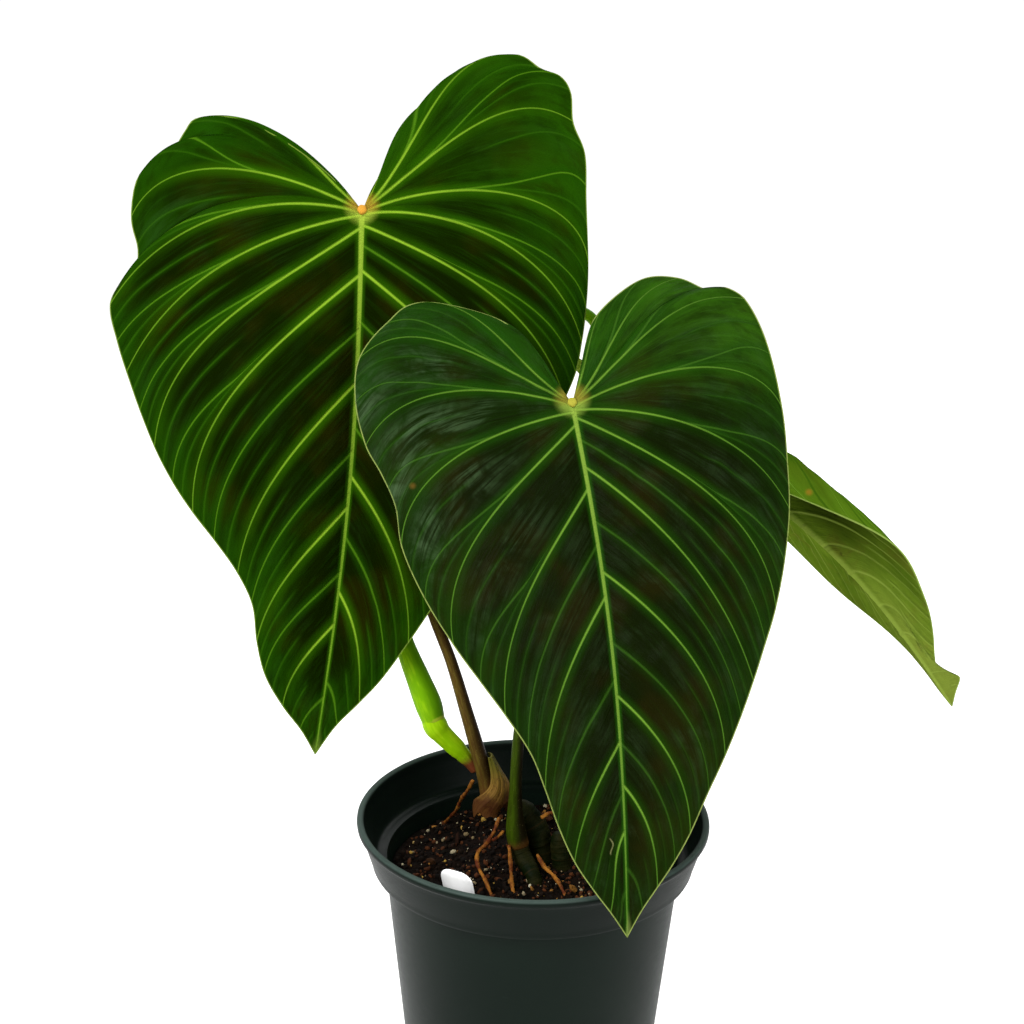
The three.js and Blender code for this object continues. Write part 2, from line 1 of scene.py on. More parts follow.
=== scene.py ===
"""A potted philodendron: three velvety heart-shaped leaves on long petioles, a creeping stem with
a fresh shoot and aerial roots, peat mix with perlite and bark, and a dark green nursery pot.

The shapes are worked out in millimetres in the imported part's own frame and put into the meshes
in metres. Every piece is a grid of samples; neighbouring samples make the faces, and `weld` says
which samples are one vertex, so seams and poles are closed.
"""
import math
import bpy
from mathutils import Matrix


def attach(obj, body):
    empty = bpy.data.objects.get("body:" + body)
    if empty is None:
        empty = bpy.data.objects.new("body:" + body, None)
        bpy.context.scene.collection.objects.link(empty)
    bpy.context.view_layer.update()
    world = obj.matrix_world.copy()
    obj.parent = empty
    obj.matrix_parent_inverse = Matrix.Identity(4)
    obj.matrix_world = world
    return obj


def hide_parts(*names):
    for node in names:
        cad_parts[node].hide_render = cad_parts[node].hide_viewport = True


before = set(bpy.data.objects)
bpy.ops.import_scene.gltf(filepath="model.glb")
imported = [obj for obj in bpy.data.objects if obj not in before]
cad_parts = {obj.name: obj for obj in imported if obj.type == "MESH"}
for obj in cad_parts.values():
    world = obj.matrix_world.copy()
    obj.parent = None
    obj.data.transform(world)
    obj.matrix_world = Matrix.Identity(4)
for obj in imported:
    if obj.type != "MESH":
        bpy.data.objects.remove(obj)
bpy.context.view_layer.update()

from types import SimpleNamespace

import bpy
import numpy as np
from mathutils import Matrix

MM = 0.001
TURN = 2 * math.pi


# ---------------------------------------------------------------- node materials
def math_method(operation, swapped=False):
    """A Socket's method: a Math node of the Socket and at most one other value."""
    def method(self, *other):
        values = (*other, self) if swapped else (self, *other)
        return self.finish.node("Math", dict(enumerate(values)), operation=operation)
    return method


class Socket:
    """A node's output. Arithmetic on it adds Math nodes and gives another Socket."""

    def __init__(self, finish, output):
        self.finish = finish
        self.output = output

    __add__ = math_method("ADD")
    __radd__ = math_method("ADD", swapped=True)
    __sub__ = math_method("SUBTRACT")
    __rsub__ = math_method("SUBTRACT", swapped=True)
    __mul__ = math_method("MULTIPLY")
    __rmul__ = math_method("MULTIPLY", swapped=True)
    __abs__ = math_method("ABSOLUTE")
    fraction = math_method("FRACT")
    whole = math_method("FLOOR")
    sine = math_method("SINE")
    least = math_method("MINIMUM")
    most = math_method("MAXIMUM")


class Finish:
    """The nodes of a material or a world, built with expressions on Sockets."""

    def __init__(self, name, group="materials"):
        self.owner = getattr(bpy.data, group).new(name)
        self.owner.use_nodes = True
        self.tree = self.owner.node_tree
        self.tree.nodes.clear()

    def node(self, kind, inputs, output=0, **settings):
        """Adds a node: its settings first, then the values or links of its sockets."""
        made = self.tree.nodes.new("ShaderNode" + kind)
        for key, value in settings.items():
            setattr(made, key, value)
        for key, value in inputs.items():
            socket = made.inputs[key]
            if isinstance(value, Socket):
                self.tree.links.new(value.output, socket)
            else:
                socket.default_value = (*value, 1) if socket.type == "RGBA" else value
        return Socket(self, made.outputs[output])

    def end(self, kind, surface):
        """Joins the surface to the output node and gives the material or world back."""
        made = self.tree.nodes.new("ShaderNode" + kind)
        self.tree.links.new(surface.output, made.inputs["Surface"])
        return self.owner

    def close(self, colour, roughness, specular, height, distance, strength):
        """Ends a material with these looks and a bump, `distance` metres high at most."""
        bump = self.node("Bump", {"Height": height, "Distance": distance, "Strength": strength})
        return self.end("OutputMaterial", self.node("BsdfPrincipled", {
            "Base Color": colour, "Roughness": roughness, "Normal": bump,
            "Specular IOR Level": specular}))

    def parts(self, vector):
        """The three numbers of a vector."""
        first = self.node("SeparateXYZ", {0: vector})
        return [Socket(self, output) for output in first.output.node.outputs]

    def attribute(self, name):
        return self.parts(self.node("Attribute", {}, "Vector", attribute_name=name))

    def vector(self, x, y, z):
        return self.node("CombineXYZ", {0: x, 1: y, 2: z})

    def measure(self, operation, *vectors):
        """One vector's length, or the distance between two."""
        return self.node("VectorMath", dict(enumerate(vectors)), "Value", operation=operation)

    def place(self, scale=(1, 1, 1)):
        """The piece's own coordinates, in metres, times a scale."""
        own = self.node("TexCoord", {}, "Object")
        return self.node("Mapping", {"Vector": own, "Scale": scale})

    def noise(self, vector, scale, detail=2.0, roughness=0.5, distortion=0.0):
        return self.node("TexNoise", {"Vector": vector, "Scale": scale, "Detail": detail,
                                      "Roughness": roughness, "Distortion": distortion})

    def cells(self, vector, scale):
        """Distance to the nearest of scattered points."""
        return self.node("TexVoronoi", {"Vector": vector, "Scale": scale}, "Distance")

    def chance(self, vector):
        """One random number per vector."""
        return self.node("TexWhiteNoise", {"Vector": vector}, noise_dimensions="3D")

    def fade(self, value, start, end, low=0.0, high=1.0):
        """low up to start, high from end on, and a smooth step between."""
        return self.node("MapRange", {0: value, 1: start, 2: end, 3: low, 4: high},
                         interpolation_type="SMOOTHSTEP")

    def mix(self, amount, first, second):
        """The first colour turning into the second."""
        return self.node("Mix", {0: amount, 6: first, 7: second}, 2, data_type="RGBA")

    def layers(self, colour, *coats):
        """The colour with each coat (amount, colour) laid over it in turn."""
        for amount, coat in coats:
            colour = self.mix(amount, colour, coat)
        return colour


def paint(red, green, blue, light=0.66):
    """A surface that shows as this screen colour, 0 to 255 a channel, under the studio lights."""
    linear = []
    for level in (red, green, blue):
        c = level / 255
        linear.append(light * (c / 12.92 if c <= 0.04045 else ((c + 0.055) / 1.055) ** 2.4))
    return tuple(linear)


def velvet(red, green, blue):
    """A colour of the upper side, which takes in more light than it gives back."""
    return paint(red, green, blue, 0.43)


# ---------------------------------------------------------------- meshes from grids
def stack(*parts):
    """Coordinates or values put together into vectors, grown to a common shape."""
    return np.stack(np.broadcast_arrays(*parts), axis=-1)


def unit(vectors):
    """The vectors, each at length 1."""
    vectors = np.asarray(vectors, dtype=float)
    return vectors / np.maximum(np.linalg.norm(vectors, axis=-1, keepdims=True), 1e-9)


def grid_quads(rows, columns, start=0):
    """Quads between the neighbours of a rows by columns grid of samples."""
    i = np.arange(rows * columns).reshape(rows, columns) + start
    return np.stack([i[:-1, :-1], i[:-1, 1:], i[1:, 1:], i[1:, :-1]], -1).reshape(-1, 4)


def round_weld(rows, columns):
    """Welds the last column onto the first, and the first and last rows to a pole each."""
    i = np.arange(rows * columns).reshape(rows, columns)
    i[:, -1] = i[:, 0]
    i[0] = i[0, 0]
    i[-1] = i[-1, 0]
    return i.ravel()


def copies(rows, columns, count):
    """The quads and the weld of `count` round grids that follow one another."""
    offset = np.arange(count)[:, None] * (rows * columns)
    quads = grid_quads(rows, columns)[None] + offset[..., None]
    return quads.reshape(-1, 4), (round_weld(rows, columns)[None] + offset).ravel()


def add_object(name, data):
    made = bpy.data.objects.new(name, data)
    bpy.context.scene.collection.objects.link(made)
    return made


def make_piece(name, samples, quads, weld, material, slot, nodes=(), values=None, crease=50):
    """A piece from samples in mm, with its values kept on the face corners.

    A corner that shares its vertex with the next one is left out, so a quad at a pole is a
    triangle. Faces are turned outwards by the sign of the enclosed volume. Edges that bend by
    more than `crease` degrees are sharp.
    """
    _, first, vertex = np.unique(weld, return_index=True, return_inverse=True)
    points = samples[first] * MM
    corners = vertex[quads]
    keep = corners != np.roll(corners, -1, axis=1)
    keep &= (keep.sum(axis=1) >= 3)[:, None]
    shown = keep.any(axis=1)
    quads, corners, keep = quads[shown], corners[shown], keep[shown]

    a, b, c, d = (points[corners[:, k]] for k in range(4))
    volume = np.einsum("ij,ij->", a, np.cross(b, c)) + np.einsum("ij,ij->", a, np.cross(c, d))
    if volume < 0:
        quads, corners = quads[:, ::-1], corners[:, ::-1]
        keep = corners != np.roll(corners, -1, axis=1)

    loops = corners[keep]
    starts = np.concatenate([[0], np.cumsum(keep.sum(axis=1))[:-1]])
    mesh = bpy.data.meshes.new(name)
    mesh.vertices.add(len(points))
    mesh.vertices.foreach_set("co", points.astype(np.float32).ravel())
    mesh.loops.add(len(loops))
    mesh.loops.foreach_set("vertex_index", loops.astype(np.int32))
    mesh.polygons.add(len(starts))
    mesh.polygons.foreach_set("loop_start", starts.astype(np.int32))
    mesh.polygons.foreach_set("use_smooth", np.ones(len(starts), dtype=bool))
    mesh.update(calc_edges=True)
    for key, value in (values or {}).items():
        layer = mesh.attributes.new(key, "FLOAT_VECTOR", "CORNER")
        layer.data.foreach_set("vector", value[quads[keep]].astype(np.float32).ravel())
    mesh.set_sharp_from_angle(angle=math.radians(crease))
    mesh.materials.append(material)
    piece = add_object(name, mesh)
    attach(piece, "root")
    if nodes:
        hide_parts(*nodes)
    return piece


def make_round(name, samples, *rest, **more):
    """A piece from a grid of samples with a seam down its side and a pole at each end."""
    shape = samples.shape[:2]
    return make_piece(name, samples.reshape(-1, 3), grid_quads(*shape), round_weld(*shape),
                      *rest, **more)


def roughen(points, size, seed, terms=14):
    """A random height from -1 to 1 at each point: a sum of sine waves in random directions,
    with wavelengths around `size` mm."""
    draw = np.random.default_rng(seed)
    heading = unit(draw.normal(size=(terms, 3)))
    pitch = TURN / (size * draw.uniform(0.6, 1.6, terms))
    phase = draw.uniform(0, TURN, terms)
    waves = np.sin(points @ (heading * pitch[:, None]).T + phase)
    return waves.sum(axis=-1) / math.sqrt(terms * 2)


def hermite(y1, m1, y2, m2, w):
    """The cubic from y1 to y2 with end slopes m1 and m2, at fraction w."""
    w2, w3 = w * w, w * w * w
    return ((2 * w3 - 3 * w2 + 1) * y1 + (w3 - 2 * w2 + w) * m1
            + (3 * w2 - 2 * w3) * y2 + (w3 - w2) * m2)


def from_table(table, stations):
    """The smooth curve through rows of [station, value, ...], sloped by the rows on each side."""
    table = np.array(table, dtype=float)
    x, y = table[:, 0], table[:, 1:]
    slope = np.empty_like(y)
    slope[1:-1] = (y[2:] - y[:-2]) / (x[2:] - x[:-2])[:, None]
    slope[0] = (y[1] - y[0]) / (x[1] - x[0])
    slope[-1] = (y[-1] - y[-2]) / (x[-1] - x[-2])
    i = np.clip(np.searchsorted(x, stations, side="left") - 1, 0, len(x) - 2)
    h = (x[i + 1] - x[i])[:, None]
    return hermite(y[i], slope[i] * h, y[i + 1], slope[i + 1] * h, (stations - x[i])[:, None] / h)


def step(x):
    """A smooth step from 0 to 1 as x goes from 0 to 1."""
    x = np.clip(x, 0, 1)
    return x * x * (3 - 2 * x)


# ---------------------------------------------------------------- stems and roots
DOME_RINGS = 5
SPAN_STEPS = 40         # steps between two rows of a stem, for measuring its route


def route(rows, count):
    """A centripetal Catmull-Rom curve through the rows' points, at evenly spaced places: the
    places, the directions there, the distance along and the row number."""
    p = np.array(rows, dtype=float)[:, :3]
    q = np.vstack([2 * p[0] - p[1], p, 2 * p[-1] - p[-2]])
    spans = len(p) - 1
    x = np.linspace(0, spans, SPAN_STEPS * spans + 1)
    i = np.minimum(x.astype(int), spans - 1)
    p0, p1, p2, p3 = (q[i + k] for k in range(4))
    d0, d1, d2 = (np.linalg.norm(b - a, axis=1)[:, None] ** 0.5
                  for a, b in ((p0, p1), (p1, p2), (p2, p3)))
    m1 = ((p1 - p0) / d0 - (p2 - p0) / (d0 + d1) + (p2 - p1) / d1) * d1
    m2 = ((p2 - p1) / d1 - (p3 - p1) / (d1 + d2) + (p3 - p2) / d2) * d1
    line = hermite(p1, m1, p2, m2, (x - i)[:, None])
    far = np.concatenate([[0], np.cumsum(np.linalg.norm(np.diff(line, axis=0), axis=1))])
    along = np.linspace(0, far[-1], count)
    place = stack(*(np.interp(along, far, line[:, k]) for k in range(3)))
    return place, unit(np.gradient(place, axis=0)), along, np.interp(along, far, x)


def make_stem(name, rows, count, sides, material, slot, node, relief, dome=(0.5, 0.5)):
    """A round stem: circles of the rows' radius along their route, closed by domes at the foot
    and the tip that rise by these shares of the radius. relief(along, turn), in mm, is added to
    the radius. grain holds the distance along, the share of a turn and the share of the rows."""
    def capped(values):
        """The values, with the first and the last repeated over the domes."""
        return np.pad(values, [(DOME_RINGS,) * 2] + [(0, 0)] * (values.ndim - 1), "edge")

    place, heading, along, station = route(rows, count)
    radius = from_table([[i, row[3]] for i, row in enumerate(rows)], station)[:, 0]
    bend = np.linspace(0, math.pi / 2, DOME_RINGS + 1)[1:]
    foot = place[0] - np.sin(bend[::-1])[:, None] * heading[0] * radius[0] * dome[0]
    tip = place[-1] + np.sin(bend)[:, None] * heading[-1] * radius[-1] * dome[1]
    centre = np.vstack([foot, place, tip])
    close = np.concatenate([np.cos(bend[::-1]), np.ones(count), np.cos(bend)])[:, None]
    heading = capped(heading)
    radius, along, station = (capped(v)[:, None] for v in (radius, along, station))

    side = unit(np.cross(heading, np.eye(3)[np.abs(heading).max(axis=0).argmin()]))
    other = np.cross(heading, side)
    turn = np.linspace(0, TURN, sides + 1)[None, :]
    thick = (radius + relief(along, turn)) * close
    samples = (centre[:, None] + (thick * np.cos(turn))[..., None] * side[:, None]
               + (thick * np.sin(turn))[..., None] * other[:, None])
    grain = stack(along, turn / TURN, station / (len(rows) - 1))
    return make_round(name, samples, material, slot, (node,), {"grain": grain.reshape(-1, 3)})


# ---------------------------------------------------------------- leaf blades
# A blade is laid out flat: u is the distance from the midrib, q runs along it from the petiole
# to the tip and is negative in the lobes. A half's margin rows are [vein number, u, q] and its
# vein rows are [vein number, q on the midrib, angle at the midrib, angle at the margin], the
# angles in degrees from the tip's direction. The flat blade is bent back along its length by
# `bend`, folded up at the midrib by `fold` degrees and rolled down towards its two margins by
# `roll`, both per mm. `bow` is the midrib's sideways bow.
FRONT = {
    "at": (12.6, 2, 328.5), "along": (25, -125, -178), "side": (1, 0, 0), "scale": 1.0,
    "length": 214, "bend": 0.0018, "fold": 10, "roll": (0.0035, 0.0035), "bow": 5,
    "ripple": 2.4, "phase": 0.6, "quilt": 1.0, "pucker": 0.9,
    "left": {
        "margin": [
            [0, 0, 0], [0.25, 9, -14], [0.5, 19, -30], [0.75, 30, -39.5], [1, 56, -48],
            [1.5, 72, -40.5], [2, 84.5, -27], [2.5, 87.5, -9], [3, 84.5, 11], [3.35, 79, 24],
            [3.7, 74.5, 38], [4, 73.5, 54], [4.5, 66.5, 75], [5, 57, 94], [5.5, 48, 109],
            [6, 39.5, 123], [6.5, 31.5, 138], [7, 27, 153], [7.5, 23, 168], [8, 18, 182],
            [8.5, 11.5, 194], [9, 6, 203], [10, 0, 214]],
        "veins": [
            [0, 0, 147, 147], [1, 0, 124, 95], [2, 0.5, 118, 50], [3, 1.5, 110, 30],
            [4, 4, 80, 5], [5, 9, 46, -6], [6, 36, 36, 0], [7, 80, 36, 5], [8, 137, 37, 12],
            [9, 172, 36, 20], [10, 214, 30, 20]],
    },
    "right": {
        "margin": [
            [0, 0, 0], [0.3, 4, -11], [0.6, 8, -23], [0.9, 13, -35], [1.25, 25, -45.5],
            [1.6, 37, -51], [2, 50, -49], [2.5, 61, -41.8], [2.8, 68, -42], [3, 75, -36],
            [3.4, 81, -17], [4, 84, 12], [4.5, 83.5, 33], [5, 81.5, 53], [5.5, 76.5, 73],
            [6, 70, 92], [6.5, 64, 106], [7, 58.5, 119], [7.5, 52, 133], [8, 44.5, 147],
            [8.5, 36, 161], [9, 28, 175], [9.5, 20.5, 186], [10, 13.5, 195], [10.5, 6.5, 204],
            [11, 0, 214]],
        "veins": [
            [0, 0, 162, 165], [1, 0, 150, 150], [2, 0.5, 130, 97], [3, 1, 124, 73],
            [4, 2, 112, 15], [5, 3, 84, 20], [6, 6, 56, -1], [7, 27, 47, 11], [8, 70, 47, -5],
            [9, 119, 44, -7], [10, 154, 38, -5], [11, 214, 30, 10]],
    },
}
LEFT = {
    "at": (-76.5, 66, 394.9), "along": (-17, -92, -190), "side": (1, 0, 0), "scale": 1.018,
    "length": 233, "bend": 0.0018, "fold": 10, "roll": (0.0035, 0.0035), "bow": 6,
    "ripple": 3.0, "phase": 2.1, "quilt": 0.8, "pucker": 0.4,
    "left": {
        "margin": [
            [0, 0, 0], [0.5, 20, -16], [0.8, 42, -28], [1, 61, -33.5], [1.2, 74, -32],
            [1.35, 78, -26], [1.5, 82, -18.5], [1.7, 91.5, -12], [1.85, 96.5, -3],
            [2, 96.5, 12], [2.3, 91.5, 26], [2.5, 91.5, 36], [2.75, 97.5, 42], [3, 100, 50],
            [3.5, 96, 64], [4, 91.5, 77], [4.5, 85, 92], [5, 76.5, 107], [5.5, 67, 120],
            [6, 57, 132], [6.5, 47, 143.5], [7, 37.5, 156], [7.5, 30.5, 169], [8, 27.5, 184],
            [8.5, 23, 198], [9, 15, 211], [9.5, 6.5, 222], [10, 0, 233]],
        "veins": [
            [0, 0, 128, 120], [1, 0, 122, 85], [2, 0.5, 112, 20], [3, 1, 98, 25],
            [4, 2, 72, 22], [5, 7, 47, 0], [6, 27, 43, -8], [7, 72, 38, 4], [8, 124, 37, 8],
            [9, 174, 40, 5], [10, 233, 35, 15]],
    },
    "right": {
        "margin": [
            [0, 0, 0], [0.3, 3, -9], [0.6, 8, -21], [0.9, 12, -34], [1.2, 16.5, -44],
            [1.5, 27, -53], [1.8, 41, -65.5], [2, 57, -73], [2.3, 69, -67.5],
            [2.55, 77.5, -65], [2.8, 82.5, -58], [3, 84.5, -46], [3.3, 91, -33],
            [3.6, 93.5, -14], [4, 97, 14], [4.5, 97.5, 33], [5, 96.5, 48], [5.5, 95, 60],
            [6, 91.5, 72], [6.5, 85.5, 90], [7, 78, 107], [7.5, 68.5, 124], [8, 58, 141],
            [8.5, 47, 159], [9, 36.5, 178], [9.5, 26.5, 195], [10, 17.5, 207],
            [10.5, 8, 219], [11, 0, 233]],
        "veins": [
            [0, 0, 161, 161], [1, 0, 152, 150], [2, 0, 136, 90], [3, 0.5, 130, 62],
            [4, 1, 118, 10], [5, 1.5, 100, 18], [6, 6, 70, 20], [7, 25, 55, 15],
            [8, 66, 46, 10], [9, 111, 44, 2], [10, 160, 38, 2], [11, 233, 35, 15]],
    },
}
REAR_HALF = {
    "margin": [
        [0, 0, 0], [0.4, 8, -16], [0.8, 17, -33], [1.2, 30, -43], [1.6, 44, -42],
        [2, 57, -34], [2.5, 66, -20], [3, 69, -4], [3.5, 69.5, 14], [4, 68, 33],
        [4.5, 65.5, 51], [5, 62, 69], [5.5, 57, 88], [6, 51, 106], [6.5, 44, 122],
        [7, 36.5, 137], [7.5, 29, 151], [8, 22, 164], [8.5, 14, 175], [9, 6.5, 184],
        [10, 0, 197]],
    "veins": [
        [0, 0, 152, 152], [1, 0, 140, 125], [2, 0.5, 122, 80], [3, 1, 108, 30],
        [4, 3, 84, 12], [5, 9, 56, 6], [6, 33, 46, 5], [7, 72, 42, 8], [8, 113, 40, 10],
        [9, 152, 38, 15], [10, 197, 35, 20]],
}
REAR_UPPER = {**REAR_HALF, "margin": REAR_HALF["margin"][:-4] + [
    [8, 20, 163], [8.4, 12, 172.5], [8.8, 8.5, 178.5], [9.2, 10.5, 184], [9.6, 12.5, 189],
    [9.85, 5.5, 193.5], [10, 0, 197]]}     # pinched short of the tip, then a small hood
REAR = {
    "at": (53, 88, 298.5), "along": (148.5, -9.5, -133.5), "side": (-57, 48.5, -66.5),
    "scale": 0.99, "length": 197, "bend": 0.0003, "fold": 51, "roll": (0.062, 0.004),
    "bow": -15, "ripple": 2.0, "phase": 1.2, "quilt": 0.7, "pucker": 0.7,
    "left": REAR_UPPER, "right": REAR_HALF,
}
SHEET = 0.6             # thickness of a blade, mm
BLADE_ROWS = 240
BLADE_COLUMNS = 44
VEIN_HANDLE = 0.36      # handles of a vein's curve, as a share of its reach
RIPPLE_TURNS = 22       # waves along a margin from the petiole to the tip, in radians
PUFF_GAP = 26           # veins further apart than this, in mm, puff up no more
PUFF_RISE = 0.075       # height of a puff, per mm between its veins
PUCKER_SIZE = 13        # mm
CHANNEL = 0.7           # depth of the midrib's groove above, mm
MIDRIB_RIDGE = 1.5      # height of the midrib below, mm
VEIN_RIDGE = 0.55       # height of the other veins below, mm


def bow_at(leaf, q):
    return leaf["bow"] * np.sin(math.pi * np.clip(q / leaf["length"], 0, 1))


def blade_points(leaf, p, q, lift):
    """The flat points (p, q) in their place in the leaf, `lift` above the middle of the sheet."""
    t = unit(leaf["along"])
    s = np.array(leaf["side"], dtype=float)
    s = unit(s - (s @ t) * t)
    n = np.cross(t, s)
    k = leaf["bend"]
    length = q * leaf["scale"]
    fold = math.radians(leaf["fold"])
    d = p - bow_at(leaf, q)
    middle = np.abs(d) < 1e-6
    roll = np.where(d < 0, leaf["roll"][0], leaf["roll"][1])
    a = np.where(middle, fold, fold - roll * np.abs(d) * leaf["scale"])
    sideways = np.sign(d) * ((math.sin(fold) - np.sin(a)) / roll - lift * np.sin(a))
    sideways = np.where(middle, 0, sideways) + bow_at(leaf, q) * leaf["scale"]
    rise = np.where(middle, 1 / math.cos(fold), np.cos(a))
    up = (np.cos(a) - math.cos(fold)) / roll + lift * rise
    forward = np.sin(k * length) / k + up * np.sin(k * length)
    above = (np.cos(k * length) - 1) / k + up * np.cos(k * length)
    return (np.array(leaf["at"], dtype=float) + forward[..., None] * t + above[..., None] * n
            + sideways[..., None] * s)


def vein_starts(half, length):
    """Vein numbers and where each leaves the midrib, strictly increasing from 0 to the tip."""
    s = np.linspace(0, len(half["veins"]) - 1, 2001)
    q = np.maximum.accumulate(np.maximum(from_table(half["veins"], s)[:, 0], 0)) + 0.05 * s
    return s, q * length / q[-1]


def half_grid(leaf, half, sign, starts, q0):
    """One half of a blade on a grid of rows, which leave the midrib at q0 and run out to the
    margin as the veins do, by columns from the midrib (w = 0) to the margin (w = 1). A row is a
    cubic Bezier curve. Gives the two sheets' points and the values for the finish."""
    s = np.interp(q0, starts[1], starts[0])
    mu, mq = from_table(half["margin"], s).T
    _, a0, a1 = from_table(half["veins"], s).T
    begin = sign * bow_at(leaf, q0)
    k = np.hypot(mu - begin, mq - q0) * VEIN_HANDLE
    r0, r1 = np.radians(a0), np.radians(a1)
    w = np.linspace(0, 1, BLADE_COLUMNS)[None, :]
    v = 1 - w
    weights = (v ** 3, 3 * v * v * w, 3 * v * w * w, w ** 3)
    ends_u = (begin, begin + k * np.sin(r0), mu - k * np.sin(r1), mu)
    ends_q = (q0, q0 + k * np.cos(r0), mq - k * np.cos(r1), mq)
    u, q = (sum(c * e[:, None] for c, e in zip(weights, ends)) for ends in (ends_u, ends_q))

    # the spacing of the veins, square to them, and the distance to the margin
    flat = stack(u, q)
    over = np.gradient(flat, s, axis=0)
    out = unit(np.gradient(flat, axis=1))
    gap = np.abs(over[..., 0] * out[..., 1] - over[..., 1] * out[..., 0])
    rim = unit(np.gradient(flat[:, -1], axis=0))
    slant = np.abs(rim[:, 0] * out[:, -1, 1] - rim[:, 1] * out[:, -1, 0])
    steps = np.linalg.norm(np.diff(flat, axis=1), axis=-1)
    rest = np.pad(np.cumsum(steps[:, ::-1], axis=1)[:, ::-1], [(0, 0), (0, 1)])
    edge = rest * np.maximum(slant, 0.25)[:, None]
    d = np.abs(sign * u - bow_at(leaf, q))

    # the sheet ripples towards its margin, and puffs up and puckers between the veins
    s = s[:, None]
    f = s / s[-1]
    near = np.abs((s + 0.5) % 1 - 0.5)
    wave = leaf["ripple"] * w ** 3 * np.sin(math.pi * f) * np.sin(
        RIPPLE_TURNS * f + leaf["phase"] + sign)
    puff = np.minimum(gap, PUFF_GAP) * PUFF_RISE * leaf["quilt"] * np.sqrt(
        np.sin(math.pi * near) + 0.02)
    puff = puff * step(d / 9) * step(edge / 14) * step(s / 0.6)
    pucker = leaf["pucker"] * roughen(stack(sign * u, q, 0), PUCKER_SIZE, 5)
    pucker = pucker * step(d / 12) * step(edge / 16) * np.sin(math.pi * near)
    channel = -CHANNEL * (1 - step(d / 3.2)) * step((10.4 - s * 10 / s[-1]) / 3)
    centre = wave + puff + pucker + channel
    rib = (MIDRIB_RIDGE * (1 - step(d / 2.6)) * (1 - 0.75 * f)
           + VEIN_RIDGE * (1 - step(near * gap / 1.4)) * (1 - w)) * step(edge / 4)
    sheets = [blade_points(leaf, sign * u, q, centre + SHEET / 2),
              blade_points(leaf, sign * u, q, centre - SHEET / 2 - rib)]
    return sheets, (s, w), stack(gap, d, edge), stack(sign * u, q, f)


def make_blade(name, leaf, material, slot, node):
    """A whole blade: an upper and an under sheet for each half, welded to each other along the
    midrib, at the petiole, at the tip and, through a narrow strip, around the margin."""
    halves = ((-1, leaf["left"]), (1, leaf["right"]))
    starts = [vein_starts(half, leaf["length"]) for _, half in halves]
    every = np.unique(np.concatenate([q for _, q in starts]))
    pace = sum(np.interp(every, q, s) / s[-1] for s, q in starts)
    q0 = np.interp(np.linspace(0, pace[-1], BLADE_ROWS), pace, every)

    rows, columns = BLADE_ROWS, BLADE_COLUMNS
    block = rows * columns
    samples, quads, welds = [], [], []
    values = {"vein": [], "reach": [], "lay": []}
    for h, (sign, half) in enumerate(halves):
        sheets, vein, reach, lay = half_grid(leaf, half, sign, starts[h], q0)
        for k, sheet in enumerate(sheets):
            start = (2 * h + k) * block
            weld = np.arange(block).reshape(rows, columns) + start
            weld[:, 0] = np.arange(rows) * columns + k * block
            weld[0] = weld[0, 0]
            weld[-1] = weld[-1, 0]
            faces = grid_quads(rows, columns, start)
            quads.append(faces if (sign > 0) == (k == 0) else faces[:, ::-1])
            samples.append(sheet.reshape(-1, 3))
            welds.append(weld.ravel())
            for kept, value in zip(values.values(), (stack(*vein, k), reach, lay)):
                kept.append(value.reshape(-1, 3))
        upper = np.arange(rows) * columns + columns - 1 + 2 * h * block
        under = upper + block
        strip = np.stack([upper[:-1], upper[1:], under[1:], under[:-1]], axis=-1)
        quads.append(strip if sign < 0 else strip[:, ::-1])
    samples, quads, welds = (np.concatenate(blocks) for blocks in (samples, quads, welds))
    return make_piece(name, samples, quads, welds, material, slot, (node,),
                      {key: np.concatenate(kept) for key, kept in values.items()}, crease=60)


VELVET = dict(
    dark=velvet(18, 31, 1), brown=velvet(34, 37, 2), green=velvet(34, 82, 4),
    fresh=velvet(40, 88, 5), glow=velvet(56, 114, 4), glow_amount=0.72, glow_width=5.0,
    vein=velvet(160, 208, 52), vein_end=velvet(108, 158, 34), second=velvet(88, 142, 24),
    faint=velvet(54, 104, 12), rib=velvet(214, 244, 84), joint=velvet(225, 130, 50),
    rim=velvet(150, 180, 70), spot=velvet(140, 104, 40), nick_colour=paint(130, 130, 84),
    vein_width=0.66, rib_width=1.1, border=0.7, lobe=0.45, calm=0.1,
    # haze, bloom and haze_floor: a painted sheen, pale streaks for the lights' reflection on the
    # velvet
    haze=velvet(60, 84, 50), bloom=(-90, -20, -10, 60, 0.1), haze_floor=0.05,
    under=paint(100, 128, 30), under_dark=paint(82, 110, 22), under_light=paint(120, 146, 42),
    under_vein=paint(148, 170, 72), under_stale=paint(104, 100, 34), under_tip=paint(140, 152, 64),
    # under_nook: the colour of the painted shade below a rolled margin
    under_fleck=paint(58, 52, 20), under_nook=paint(34, 44, 6),
    rough=0.55, specular=0.0, seed=1.0, spots=(), nick=None, nook=None)


